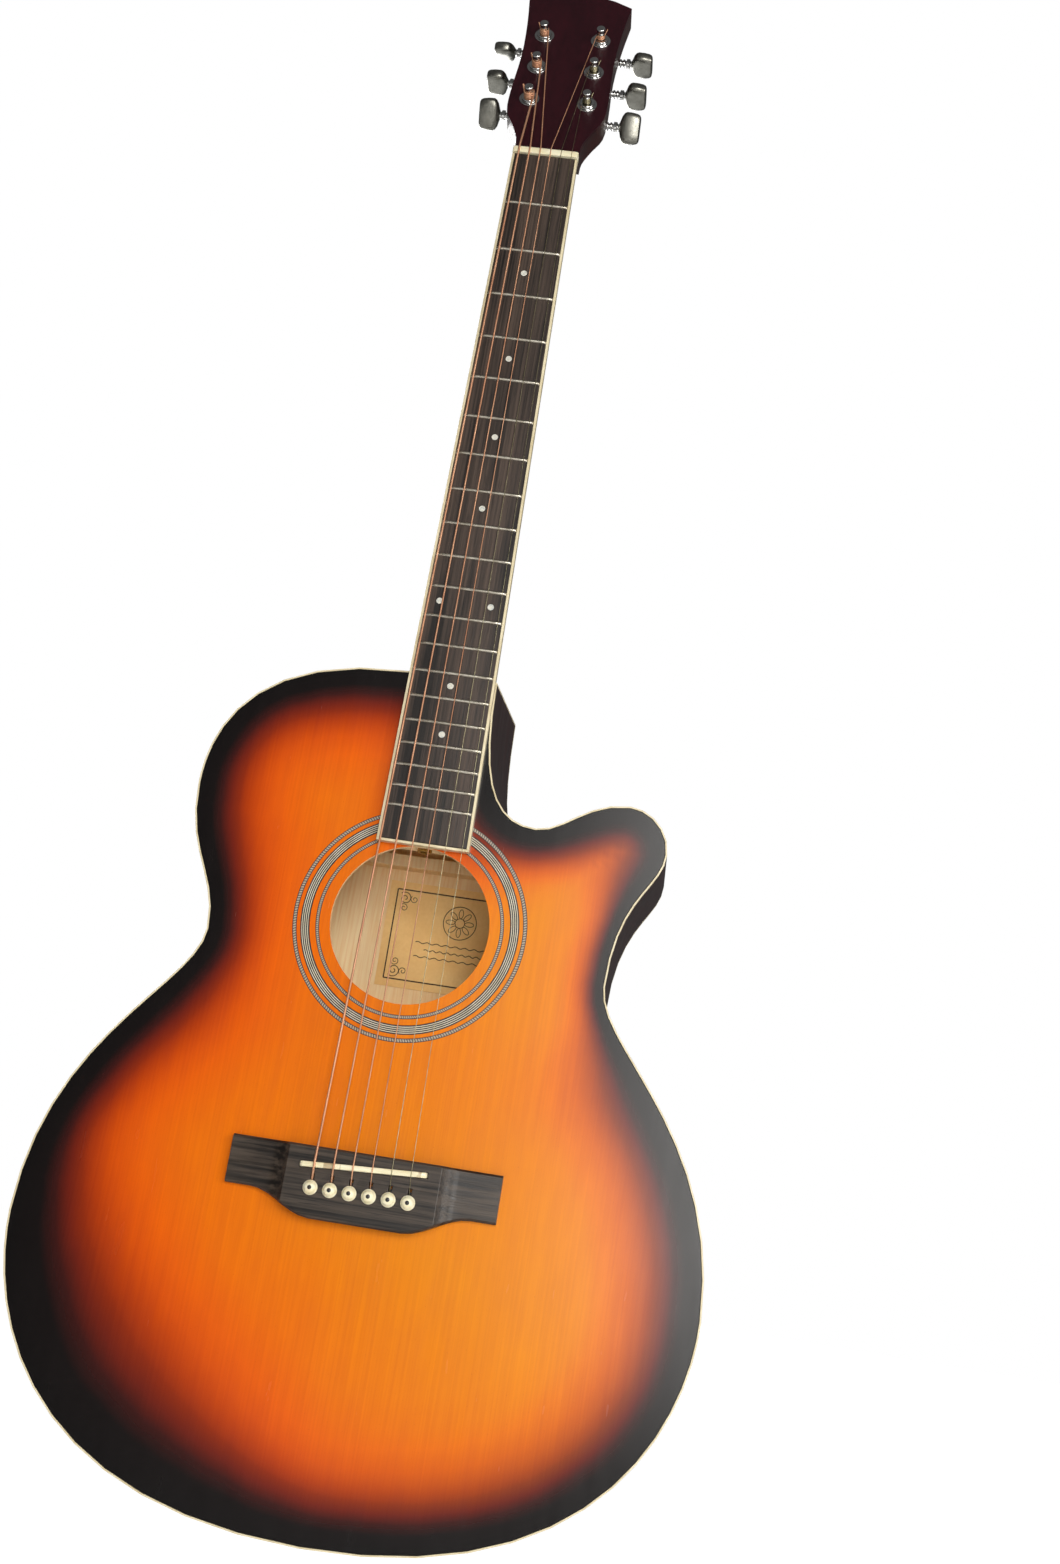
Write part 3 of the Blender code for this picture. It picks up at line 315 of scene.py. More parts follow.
def sunburst():
    """Spruce under a sprayed burst: near-black at the edge, through red, to amber in the middle, with
    painted light lifting the treble side of the middle.
    """
    surface = Surface("sunburst_spruce", Specular_IOR_Level=0.38)
    spread = surface.node("Attribute", attribute_name="burst").outputs["Fac"]
    cloud = surface.noise((14, 14, 14), 2.0)
    uneven = surface.calculate("ADD", spread, surface.ranged(cloud, 0.3, 0.7, -0.006, 0.006))
    burst = surface.ramp(
        uneven, (0.00, shade(10, 7, 7)), (0.06, shade(15, 9, 9)), (0.095, shade(56, 17, 14)),
        (0.13, shade(106, 29, 12)), (0.16, shade(134, 40, 6)), (0.19, shade(165, 54, 2)),
        (0.225, shade(189, 68, 0)), (0.26, shade(206, 79, 0)), (0.33, shade(221, 93, 0)),
        (0.50, shade(223, 108, 0)), (0.95, shade(221, 120, 0)),
    )
    # Painted light: the treble side of the middle gets a yellow lift, as if it were lit from the right.
    side = surface.node("SeparateXYZ", {"Vector": surface.place((1, 1, 1))}).outputs["X"]
    treble_side = surface.ranged(side, -0.02, 0.13, 0.0, 1.0)
    middle = surface.ranged(uneven, 0.12, 0.40, 0.0, 1.0)
    painted_light_share = surface.calculate("MULTIPLY", treble_side, middle)
    burst = surface.mix(painted_light_share, burst, (0.01, 0.095, 0.0, 1), "ADD")
    rings = surface.noise((900, 900, 6), 2.0, 0.1)
    silk = surface.noise((140, 140, 24), 3.0)
    specks = surface.noise((2200, 2200, 900), 1.0)
    color = surface.tinted(burst, rings, 0.32, 0.68, 0.30, shade(225, 196, 170), "MULTIPLY")
    color = surface.tinted(color, silk, 0.35, 0.65, 0.30, shade(232, 214, 190), "MULTIPLY")
    color = surface.tinted(color, specks, 0.68, 0.75, 0.45, shade(205, 160, 120), "MULTIPLY")
    return surface.finished(color, silk, 0.235, 0.275, rings, 0.05, 0.0002)


def spruce():
    """Bare spruce, as inside the body."""
    surface = Surface("bare_spruce")
    rings = surface.noise((700, 700, 6), 2.0, 0.2)
    blotch = surface.noise((35, 35, 14), 3.0)
    color = surface.ramp(rings, (0.36, shade(255, 230, 182)), (0.66, shade(248, 212, 158)))
    color = surface.tinted(color, blotch, 0.3, 0.7, 0.4, shade(240, 214, 180), "MULTIPLY")
    return surface.finished(color, rings, 0.62, 0.74, rings, 0.3)


def cream_plastic(name="cream_binding", light=(222, 210, 176), dark=(201, 186, 148)):
    surface = Surface(name, Coat_Weight=0.2, Coat_Roughness=0.2)
    mottle = surface.noise((120, 120, 60), 3.0)
    scratches = surface.noise((3000, 3000, 220), 2.0)
    color = surface.ramp(mottle, (0.35, shade(*light)), (0.68, shade(*dark)))
    return surface.finished(color, scratches, 0.30, 0.46, scratches, 0.06, 0.0001)


def bone(stained=False):
    """Bone with faint streaks, and brown stains where strings have crossed it."""
    surface = Surface("stained_bone" if stained else "bone", Subsurface_Weight=0.06)
    streaks = surface.noise((60, 400, 400), 3.0)
    color = surface.ramp(streaks, (0.36, shade(240, 231, 200)), (0.66, shade(226, 212, 172)))
    if stained:
        marks = surface.noise((150, 40, 40), 2.0)
        color = surface.tinted(color, marks, 0.57, 0.62, 0.65, shade(139, 107, 68))
    return surface.finished(color, streaks, 0.30, 0.42, streaks, 0.08, 0.0001)


def metal(name, color, dull, roughness, scratch=(900, 900, 900)):
    """Plated or bare metal with fine scratches and a dull bloom."""
    surface = Surface(name, Metallic=1.0)
    bloom = surface.noise((220, 220, 220), 3.0)
    scratches = surface.noise(scratch, 3.0, 0.4)
    plated = surface.ramp(bloom, (0.38, shade(*color)), (0.70, shade(*dull)))
    return surface.finished(plated, scratches, roughness - 0.05, roughness + 0.09, scratches, 0.05, 0.0001)


def winding(name, turns_per_metre):
    """A string's wrapped bronze wire, as close ridges across its length, with painted shade darkening the
    grooves between turns.
    """
    surface = Surface(name, Metallic=0.7)
    turns = surface.node("SeparateXYZ", {"Vector": surface.place((1, 1, turns_per_metre))}).outputs["Z"]
    ridge = surface.calculate("SINE", surface.calculate("MULTIPLY", turns, FULL_TURN))
    height = surface.ranged(ridge, -1.0, 1.0, 0.0, 1.0)
    tarnish = surface.noise((60, 60, 45), 3.0)
    color = surface.ramp(tarnish, (0.35, shade(240, 184, 146)), (0.68, shade(204, 146, 112)))
    # Painted shade: the low parts between the ridges are mixed towards a dark brown.
    color = surface.mix(surface.ranged(height, 0.0, 0.40, 0.60, 0.0), color, shade(74, 44, 34))
    return surface.finished(color, tarnish, 0.40, 0.55, height, 0.5, 0.0001)


def plastic(name, color, roughness):
    surface = Surface(name, Coat_Weight=0.3, Coat_Roughness=0.1)
    grain = surface.noise((700, 700, 700), 2.0)
    lighter = tuple(min(c + 10, 255) for c in color)
    mottled = surface.ramp(grain, (0.35, shade(*color)), (0.7, shade(*lighter)))
    return surface.finished(mottled, grain, roughness, roughness + 0.1, grain, 0.05, 0.0001)


def pearl():
    surface = Surface("pearl", Coat_Weight=0.8, Coat_Roughness=0.1)
    layers = surface.noise((260, 260, 420), 2.0, 2.0)
    color = surface.ramp(layers, (0.36, shade(196, 196, 184)), (0.50, shade(226, 222, 208)),
                         (0.66, shade(176, 184, 182)))
    return surface.finished(color, layers, 0.18, 0.34, layers, 0.08, 0.0001)


def aged_paper():
    surface = Surface("aged_paper")
    fibre = surface.noise((500, 500, 500), 4.0)
    stain = surface.noise((30, 30, 30), 3.0)
    color = surface.ramp(stain, (0.35, shade(255, 214, 144)), (0.68, shade(242, 194, 122)))
    color = surface.tinted(color, fibre, 0.3, 0.7, 0.3, shade(228, 180, 114))
    return surface.finished(color, fibre, 0.75, 0.92, fibre, 0.2, 0.0001)


FINISH = {
    "sunburst": sunburst(),
    "spruce": spruce(),
    "side": wood("stained_mahogany", (26, 9, 9), (46, 14, 13), 0.36, pores=0.3, relief=0.10, shine=0.45),
    "back": wood("back_mahogany", (34, 12, 11), (70, 26, 21), 0.30, coat=0.2, pores=0.4, relief=0.10,
                 shine=0.45),
    "neck": wood("stained_neck", (24, 9, 9), (50, 17, 15), 0.36, relief=0.12, wear_and_highlight=(70, 30, 24), shine=0.45),
    "head": wood("head_face", (34, 6, 13), (46, 9, 18), 0.34, pores=0.12, relief=0.05, shine=0.35),
    "fretboard": wood("fretboard_rosewood", (24, 19, 16), (76, 62, 53), 0.46, pores=0.5, relief=0.35,
                      shine=0.4, contrast=0.10),
    # The bridge's lighter edge colour is a painted highlight along its edges, with some wear.
    "bridge": wood("bridge_rosewood", (20, 15, 11), (64, 54, 45), 0.38, axis=ACROSS, pores=0.6, relief=0.5,
                   wear_and_highlight=(104, 92, 80), shine=0.45, contrast=0.08, wander=2.2),
    "cap": wood("heel_cap_rosewood", (30, 23, 21), (60, 46, 40), 0.42, coat=0.2),
    "cream": cream_plastic(),
    "white_line": cream_plastic("white_purfling", (226, 218, 196), (196, 186, 158)),
    "grey_tile": plastic("grey_tile", (168, 156, 138), 0.40),
    "dark_tile": plastic("dark_tile", (84, 74, 64), 0.40),
    "black_line": plastic("black_purfling", (30, 26, 24), 0.40),
    "bone": bone(),
    "stained_bone": bone(True),
    "steel": metal("plain_steel", (172, 164, 132), (132, 124, 98), 0.34),
    "fret_metal": metal("fret_metal", (206, 200, 186), (168, 160, 144), 0.30),
    "chrome": metal("chrome", (214, 214, 212), (188, 188, 186), 0.10, (500, 500, 500)),
    "satin_chrome": metal("satin_chrome", (140, 139, 131), (124, 123, 115), 0.32),
    "brass": metal("brass", (196, 158, 84), (150, 112, 56), 0.30),
    "pearl": pearl(),
    "paper": aged_paper(),
    "ink": plastic("brown_ink", (60, 42, 30), 0.8),
    # Used for real inlay dots, and also for dark pieces that are painted shade in holes.
    "dark": plastic("dark_inlay_and_painted_shade", (20, 17, 16), 0.35),
    "black_plastic": plastic("black_plastic", (18, 18, 19), 0.28),
}
for string_name, turns_per_metre in zip(STRING_NAMES, (1900, 2300, 2900, 3700)):
    FINISH["winding_" + string_name] = winding("winding_" + string_name, turns_per_metre)


# Meshes


def body_of(node):
    holder = NODES[node].parent
    return next(name for name, empty in BODIES.items() if empty == holder)


def copied(node):
    """A CAD node's mesh as a bmesh, with its loose corners welded."""
    shape = bmesh.new()
    shape.from_mesh(NODES[node].data)
    bmesh.ops.remove_doubles(shape, verts=shape.verts, dist=1e-6)
    for face in shape.faces:
        face.material_index = 0
    return shape


def linked(name, data):
    made = bpy.data.objects.new(name, data)
    bpy.context.scene.collection.objects.link(made)
    return made


def piece(name, shape, finishes, body=ROOT, stands_for=(), sharp=35):
    """Makes a shown object from a bmesh, attaches it to the body it rides on, and hides the CAD nodes it
    stands for.
    """
    data = bpy.data.meshes.new(name)
    shape.to_mesh(data)
    shape.free()
    stored_normals = data.attributes.get("custom_normal")
    if stored_normals:
        data.attributes.remove(stored_normals)
    made = linked(name, data)
    for finish in [finishes] if isinstance(finishes, str) else finishes:
        data.materials.append(FINISH[finish])
    data.shade_smooth()
    data.set_sharp_from_angle(angle=radians(sharp))
    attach(made, body)
    if stands_for:
        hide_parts(*stands_for)
    return made


def soften(thing, width, segments=2, angle=32):
    """Small rounded edges that catch the light."""
    modifier = thing.modifiers.new("soft_edges", "BEVEL")
    modifier.width = width
    modifier.segments = segments
    modifier.limit_method = "ANGLE"
    modifier.angle_limit = radians(angle)
    modifier.harden_normals = True


def stand_in(node, shape, finishes, sharp=35):
    """A shown object that takes a CAD node's place."""
    return piece(node + "_shown", shape, finishes, body_of(node), [node], sharp)


def refined(node, finishes, edge=0.0004, flat=0.4, sharp=35, colour_faces=None):
    """A CAD node's own shape with its flat faces joined, soft edges and smooth curves."""
    shape = copied(node)
    if flat:
        bmesh.ops.dissolve_limit(shape, angle_limit=radians(flat), verts=shape.verts, edges=shape.edges,
                                 delimit={"NORMAL"})
    if colour_faces:
        shape.normal_update()
        for face in shape.faces:
            face.material_index = colour_faces(face)
    made = stand_in(node, shape, finishes, sharp)
    if edge:
        soften(made, edge)
    return made


def lathe(profile, steps, close_ends=True):
    """A bmesh turned about Z from (radius, height) pairs."""
    shape = bmesh.new()
    rings = []
    for radius, height in profile:
        if radius < 1e-6:
            rings.append([shape.verts.new((0, 0, height))])
        else:
            rings.append([shape.verts.new((radius * x, radius * y, height)) for x, y in circle(steps)])
    for lower, upper in zip(rings, rings[1:]):
        for i in range(steps):
            corners = [ring[k % steps % len(ring)]
                       for ring, k in ((lower, i), (lower, i + 1), (upper, i + 1), (upper, i))]
            unique = list(dict.fromkeys(corners))
            if len(unique) > 2:
                shape.faces.new(unique)
    if close_ends:
        for ring in (rings[0], rings[-1]):
            if len(ring) > 1:
                shape.faces.new(ring)
    bmesh.ops.recalc_face_normals(shape, faces=shape.faces)
    return shape


def arc_profile(radius, height, radius_out, radius_up, start, end, steps):
    """(radius, height) pairs round a corner's centre, from one angle to another in degrees."""
    pairs = []
    for i in range(steps + 1):
        angle = radians(start + (end - start) * i / steps)
        pairs.append((radius + radius_out * cos(angle), height + radius_up * sin(angle)))
    return pairs


def loft(sections, close=False):
    """A skin over a row of sections: its ends are filled, or joined when it closes on itself."""
    shape = bmesh.new()
    rings = [[shape.verts.new(point) for point in section] for section in sections]
    for ring, following in zip(rings, rings[1:] + rings[:1] if close else rings[1:]):
        for i in range(len(ring)):
            j = (i + 1) % len(ring)
            shape.faces.new((ring[i], ring[j], following[j], following[i]))
    if not close:
        shape.faces.new(rings[0])
        shape.faces.new(rings[-1])
    bmesh.ops.recalc_face_normals(shape, faces=shape.faces)
    return shape


def tube(path, radius, steps):
    """A bmesh tube along a list of points, with a frame carried smoothly from one to the next."""
    points = [Vector(p) for p in path]
    side = None
    sections = []
    for i, point in enumerate(points):
        ahead = (points[min(i + 1, len(points) - 1)] - points[max(i - 1, 0)]).normalized()
        if side is None:
            side = ahead.orthogonal().normalized()
        side = (side - ahead * side.dot(ahead)).normalized()
        other = ahead.cross(side)
        sections.append([point + side * radius * x + other * radius * y for x, y in circle(steps)])
    return loft(sections)


def moved(shape, matrix):
    shape.transform(matrix)
    return shape


def joined(shapes):
    """Several bmeshes as one."""
    whole = bmesh.new()
    for shape in shapes:
        data = bpy.data.meshes.new("part")
        shape.to_mesh(data)
        shape.free()
        whole.from_mesh(data)
        bpy.data.meshes.remove(data)
    return whole


def disc(radius, thickness, steps):
    edge = thickness * 0.3
    return lathe([(radius, 0), (radius, thickness - edge), (radius - edge, thickness)], steps)


# Body

SOUNDBOARD_TREE = BVHTree.FromBMesh(copied("soundboard"))
BACK_TREE = BVHTree.FromBMesh(copied("back_plate"))
BURST_REACH = 0.160  # distance from the edge at which the burst has fully cleared
BAND_WIDTH = 0.0049


def burst_share(edge_distance, x, z):
    """How far into the burst a point is: 0 at the black edge, 1 in the amber middle.

    The burst is narrower at the waists and wider low on the bass side.
    """
    drop = BODY_TOP_Z - z
    treble_waist = blend_step(x, 0.0, 0.08) * near(drop, 0.162, 0.020, 0.094)
    bass_waist = blend_step(-x, 0.0, 0.08) * near(drop, 0.170, 0.010, 0.065)
    low_bass = blend_step(-x, -0.02, 0.13) * blend_step(drop, 0.285, 0.405)
    width = BURST_REACH * (1 - 0.62 * treble_waist) * (1 - 0.18 * bass_waist) * (1 + 1.30 * low_bass)
    return edge_distance / width


def make_soundboard():
    """The soundboard cut into a fine grid, so that each corner carries its share of the burst."""
    binding = copied("binding_top")
    edge = BVHTree.FromBMesh(binding)
    binding.free()
    shape = copied("soundboard")
    spacing, mid_depth = 0.006, PLATE_THICKNESS / 2
    low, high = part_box("soundboard")
    for axis in (ACROSS, ALONG_NECK):
        for i in range(1, int((high[axis] - low[axis]) / spacing) + 1):
            place, normal = Vector(), Vector()
            place[axis] = low[axis] + i * spacing
            normal[axis] = 1
            everything = list(shape.verts) + list(shape.edges) + list(shape.faces)
            bmesh.ops.bisect_plane(shape, geom=everything, plane_co=place, plane_no=normal, dist=1e-7)
    bmesh.ops.dissolve_degenerate(shape, dist=1e-6, edges=shape.edges)
    burst = shape.verts.layers.float.new("burst")
    for vert in shape.verts:
        if vert.co.y < low.y + 1e-5:
            vert.co.y = low.y
        distance = edge.find_nearest(Vector((vert.co.x, mid_depth, vert.co.z)))[3]
        vert[burst] = burst_share(distance, vert.co.x, vert.co.z)
    shape.normal_update()
    for face in shape.faces:
        face.material_index = 1 if face.normal.y > 0.5 or is_inside_hole(face) else 0
    stand_in("soundboard", shape, ["sunburst", "spruce"], 2)


def is_inside_hole(face):
    """Whether a face is part of the hole's wall, which lies within the rosette."""
    centre = face.calc_center_median()
    reach = hypot(centre.x, centre.z - HOLE_Z)
    return abs(face.normal.y) < 0.5 and reach < BAND_HIGH.x - 2 * BAND_WIDTH


def make_body():
    make_soundboard()
    refined("back_plate", ["back", "spruce"], edge=0.0003,
            colour_faces=lambda face: 1 if face.normal.y < -0.5 else 0)
    for node in ("binding_top", "binding_back"):
        refined(node, "cream", edge=0.00025)
    for node in ("rim_bass", "rim_treble"):
        refined(node, ["side", "spruce"], edge=0, flat=0,
                colour_faces=rim_face)
    for node in ("lining_top", "lining_back", "neck_block", "tail_block", "x_brace_bass", "x_brace_treble",
                 "upper_transverse_brace", "bridge_plate", "back_brace_upper", "back_brace_waist",
                 "back_brace_lower"):
        refined(node, "spruce", edge=0.0006)


def rim_face(face):
    """1 for the bare inside and 0 for the lacquered outside.

    A face looks inwards if the nearer plate covers the point just ahead of it.
    """
    if abs(face.normal.y) > 0.5:
        return 0
    ahead = face.calc_center_median() + face.normal * 0.006
    if ahead.y < BACK_LOW.y / 2:
        hit = SOUNDBOARD_TREE.ray_cast(Vector((ahead.x, -1, ahead.z)), Vector((0, 1, 0)))
    else:
        hit = BACK_TREE.ray_cast(Vector((ahead.x, 1, ahead.z)), Vector((0, -1, 0)))
    return 0 if hit[0] is None else 1


def ring_strip(inner, outer, low, high):
    """A flat ring round the soundhole, standing between two depths."""
    corners = ((inner, low), (outer, low), (outer, high), (inner, high))
    return loft([[(x * radius, y, HOLE_Z + z * radius) for radius, y in corners] for x, z in circle(160)],
                close=True)


def marquetry(inner, outer, low, high):
    """A ring of slanted tiles, pale and dark in turn."""
    count = 560
    step = FULL_TURN / count
    slant = step * 0.7
    tiles = []
    for i in range(count):
        starts = ((inner, i * step), (inner, (i + 1) * step),
                  (outer, (i + 1) * step + slant), (outer, i * step + slant))
        corners = [(radius * cos(a), radius * sin(a)) for radius, a in starts]
        tile = loft([[(x, y, HOLE_Z + z) for x, z in corners] for y in (low, high)])
        for face in tile.faces:
            face.material_index = i % 2
        tiles.append(tile)
    return joined(tiles)


def make_rosette():
    """A middle band of fine black and white lines between two marquetry rings with dark edges."""
    proud, under, shallow = -0.00005, 0.0010, 0.0001
    black_width, white_width, edge = 0.00074, 0.00040, 0.00045
    start = BAND_HIGH.x - BAND_WIDTH / 2 - (5 * black_width + 4 * white_width) / 2
    black, white = [], []
    for i in range(9):
        group, width = (white, white_width) if i % 2 else (black, black_width)
        group.append(ring_strip(start, start + width, proud, under))
        start += width
    piece("rosette_white_lines", joined(white), "white_line",
          stands_for=["rosette_band"])
    for low, high in ((0.0531, 0.0553), (0.0664, 0.0689)):
        black.append(ring_strip(low, low + edge, proud, shallow))
        black.append(ring_strip(high - edge, high, proud, shallow))
        tiles = marquetry(low + edge, high - edge, proud, shallow)
        piece("rosette_tiles_%d" % round(high * 1000), tiles, ["grey_tile", "dark_tile"])
    piece("rosette_black_lines", joined(black), "black_line")


def ink_line(points, width, close=False):
    """A flat line of ink on the label, which lies on the back's inner face."""
    ink = 0.0002
    sections = []
    count = len(points)
    for i, point in enumerate(points):
        before = points[(i - 1) % count] if close or i else point
        after = points[(i + 1) % count] if close or i < count - 1 else point
        ahead = (Vector(after) - Vector(before)).normalized()
        side = Vector((-ahead.y, ahead.x)) * width / 2
        a, b = Vector(point) + side, Vector(point) - side
        sections.append([(x, back_y(z) - PLATE_THICKNESS - GAP - PAPER_THICKNESS - lift, z)
                         for (x, z), lift in ((a, ink), (b, ink), (b, 0), (a, 0))])
    return loft(sections, close)


def spiral(centre, start_radius, end_radius, start_angle, turns):
    points = []
    for i in range(41):
        share = i / 40
        radius = start_radius + (end_radius - start_radius) * share
        angle = start_angle + FULL_TURN * turns * share
        points.append((centre[0] + radius * cos(angle), centre[1] + radius * sin(angle)))
    return points


def ellipse(centre, length, width, turn=0, steps=48):
    """Points round an ellipse, with its two half axes and its turn up from +X."""
    cosine, sine = cos(turn), sin(turn)
    return [(centre[0] + length * x * cosine - width * z * sine,
             centre[1] + length * x * sine + width * z * cosine) for x, z in circle(steps)]


def make_label():
    """A paper label inside the body, with a plain ornament."""
    refined("label", "paper", edge=0)
    low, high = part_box("label")
    middle_x = (low.x + high.x) / 2
    emblem = (middle_x, high.z - 0.0215)
    lines = label_border(low, high, 0.0050)
    for sx, sz in ((-1, -1), (-1, 1), (1, -1), (1, 1)):
        corner = (low.x if sx < 0 else high.x, low.z if sz < 0 else high.z)
        lines += corner_scroll(corner, sx, sz)
    lines += flower(emblem)
    for below_top, half in ((0.0370, 0.026), (0.0415, 0.020), (0.0460, 0.026)):
        wave = [(middle_x + half * (i / 30 - 1), high.z - below_top + 0.0005 * sin(i * 0.9))
                for i in range(61)]
        lines.append(ink_line(wave, 0.0005))
    piece("label_ornament", joined(lines), "ink")


def label_border(low, high, margin):
    left, right, bottom, top = low.x + margin, high.x - margin, low.z + margin, high.z - margin
    corners = [(left, bottom), (right, bottom), (right, top), (left, top)]
    return [ink_line(ends, 0.0008) for ends in zip(corners, corners[1:] + corners[:1])]


def corner_scroll(corner, sx, sz):
    """A large spiral in a corner of the label, with a smaller one on each side."""
    inset, apart = 0.0105, 0.006
    x, z = corner[0] - sx * inset, corner[1] - sz * inset
    start, turn = atan2(sz, sx), sx * sz
    return [
        ink_line(spiral((x, z), 0.0042, 0.0006, start, 1.6 * turn), 0.0005),
        ink_line(spiral((x - sx * apart, z), 0.0026, 0.0005, start, -1.3 * turn), 0.0004),
        ink_line(spiral((x, z - sz * apart), 0.0026, 0.0005, start, 1.3 * turn), 0.0004),
    ]


def flower(centre):
    """Eight petals between two rings."""
    lines = [ink_line(ellipse(centre, 0.0105, 0.0105), 0.0005, close=True),
             ink_line(ellipse(centre, 0.0030, 0.0030), 0.0004, close=True)]
    for x, z in circle(8):
        place = (centre[0] + 0.0060 * x, centre[1] + 0.0060 * z)
        petal = ellipse(place, 0.0029, 0.0014, atan2(z, x), 20)
        lines.append(ink_line(petal, 0.0004, close=True))
    return lines


def make_end_pin():
    """A strap pin with a flange, a neck and a wide cap, turned down from the tail."""
    profile = [(0.0026, -0.0075), (0.0030, 0.0), (0.0050, 0.0003), (0.0062, 0.0012), (0.0056, 0.0022),
               (0.0044, 0.0030), (0.0044, 0.0040), (0.0056, 0.0050), (0.0068, 0.0057), (0.0068, 0.0064),
               (0.0058, 0.0070), (0.0030, 0.0073), (0, 0.0073)]
    low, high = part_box("end_pin")
    place = turned_at((0, (low.y + high.y) / 2, BODY_LOW.z - GAP), pi, "X")
    stand_in("end_pin", moved(lathe(profile, 40), place), "black_plastic")


def make_heel_strip():
    """A thin cream strip along the corner beside the heel, where the cutaway's side meets the neck joint,
    from front to back.
    """
    width, proud = 0.0012, 0.0001
    binding_height = 0.0029
    top = BODY_TOP_Z + proud
    ends = ((corner_x("binding_top"), binding_height),
            (corner_x("binding_back"), back_y(BODY_TOP_Z) - binding_height))
    shape = loft([[(x + proud, y, top), (x - width, y, top), (x - width, y, top - width),
                   (x + proud, y, top - width)] for x, y in ends])
    soften(piece("heel_corner_strip", shape, "cream"), 0.0002)


def corner_x(node):
    """Where a binding turns the corner from the neck joint into the cutaway."""
    return max(v.co.x for v in NODES[node].data.vertices if v.co.z > BODY_TOP_Z - 0.0005)


# Neck and fretboard


def make_neck():
    refined("neck", "neck", edge=0.0007, flat=0.2, sharp=28)
    refined("heel_cap", "cap", edge=0.0005)
    refined("head_veneer", "head")
    refined("truss_rod", "steel", edge=0.0003)
    refined("truss_rod_nut", "brass")


def board_section(z, inset, top_lift, low_y):
    """Points across the fretboard's top at one height, then its two lower corners."""
    half = board_half_width(z) - inset
    steps = 10
    xs = [-half + 2 * half * i / steps for i in range(steps + 1)]
    return [(x, board_y(x) - top_lift, z) for x in xs] + [(half, low_y, z), (-half, low_y, z)]


def make_fretboard():
    end = BOARD_LOW.z + BOARD_BINDING + GAP
    stations = [NUT_Z - GAP + (end - NUT_Z + GAP) * i / 24 for i in range(25)]
    inset = BOARD_BINDING + 0.00005
    board = loft([board_section(z, inset, 0, -GAP) for z in stations])
    soften(stand_in("fretboard", board, "fretboard"), 0.0002)
    make_board_binding()
    make_frets(inset)
    make_dots()


def make_board_binding():
    """The cream strip down both sides and across the end, with its outer corners eased."""
    end = BOARD_LOW.z
    route = [(-NUT_HALF_WIDTH, NUT_Z - GAP), (-BOARD_END_HALF_WIDTH, end), (BOARD_END_HALF_WIDTH, end),
             (NUT_HALF_WIDTH, NUT_Z - GAP)]
    lift = (0, BOARD_BINDING, BOARD_BINDING, 0)
    sections = []
    for (x, z), up in zip(route, lift):
        inner = x - copysign(BOARD_BINDING, x)
        sections.append([(x, -GAP, z), (x, board_y(x), z), (inner, board_y(inner), z + up),
                         (inner, -GAP, z + up)])
    soften(stand_in("fretboard_binding", loft(sections), "cream"), 0.0003)


def make_frets(inset):
    """Rounded wires across the board, with their ends bevelled back."""
    wires = []
    half_wire, bevel, sunk = FRET_WIDTH / 2, 0.0009, 0.0006
    for number in range(1, FRET_COUNT + 1):
        z = fret_z(number)
        half = board_half_width(z) - inset
        xs = [-half, -half + bevel / 3, -half + bevel] + [half * k / 6 for k in range(-5, 6)]
        xs += [half - bevel, half - bevel / 3, half]
        sections = []
        for x in xs:
            y = board_y(x)
            rise = FRET_HEIGHT * min(1.0, 0.15 + (half - abs(x)) / bevel)
            crown = [(x, y - rise * up, z + half_wire * along) for along, up in half_circle(8)]
            sections.append(crown + [(x, y + sunk, z - half_wire / 2), (x, y + sunk, z + half_wire / 2)])
        wires.append(loft(sections))
    piece("frets", joined(wires), "fret_metal", sharp=50)


def make_dots():
    dots, rings = [], []
    for number in DOT_FRETS:
        z = (fret_z(number) + fret_z(number - 1)) / 2
        for x in (-DOUBLE_DOT_X, DOUBLE_DOT_X) if number == 12 else (0,):
            for radius, lift, group in ((0.0020, 0.00012, dots), (0.00225, 0.00008, rings)):
                place = turned_at((x, board_y(x) + 0.0001, z), pi / 2, "X")
                group.append(moved(disc(radius, 0.0001 + lift, 28), place))
    piece("fret_dots", joined(dots), "pearl")
    piece("fret_dot_rings", joined(rings), "dark")


def make_nut():
    """The nut: a crowned block with a round-bottomed slot under each string."""
    top = NUT_LOW.y - 0.0007
    outline = [(-NUT_HALF_WIDTH, -GAP)]
    outline += [(-NUT_HALF_WIDTH, top + 0.0012), (-NUT_HALF_WIDTH + 0.0004, top + 0.0004),
                (-NUT_HALF_WIDTH + 0.0012, top)]
    for index, radius in enumerate(STRING_RADII):
        x = across(index, NUT_SPREAD)
        floor = NUT_LOW.y - GAP - radius
        wide = radius * 1.12
        outline.append((x - wide, top))
        outline += [(x - wide * aside, floor + wide * up) for aside, up in half_circle(6)]
        outline.append((x + wide, top))
    outline += [(NUT_HALF_WIDTH - 0.0012, top), (NUT_HALF_WIDTH - 0.0004, top + 0.0004),
                (NUT_HALF_WIDTH, top + 0.0012), (NUT_HALF_WIDTH, -GAP)]
    high = NUT_HIGH.z
    sections = []
    for z, drop in ((NUT_Z, 0.0), (high - 0.0018, 0.0), (high - 0.0007, 0.0005), (high, 0.0015)):
        sections.append([(x, min(y + drop, -GAP) if y < -0.004 else y, z) for x, y in outline])
    soften(stand_in("nut", loft(sections), "bone"), 0.00015)


# Bridge


def make_bridge():
    refined("bridge", "bridge", edge=0.0003, flat=0, sharp=32)
    make_saddle()
    for name in STRING_NAMES:
        make_pin(name)


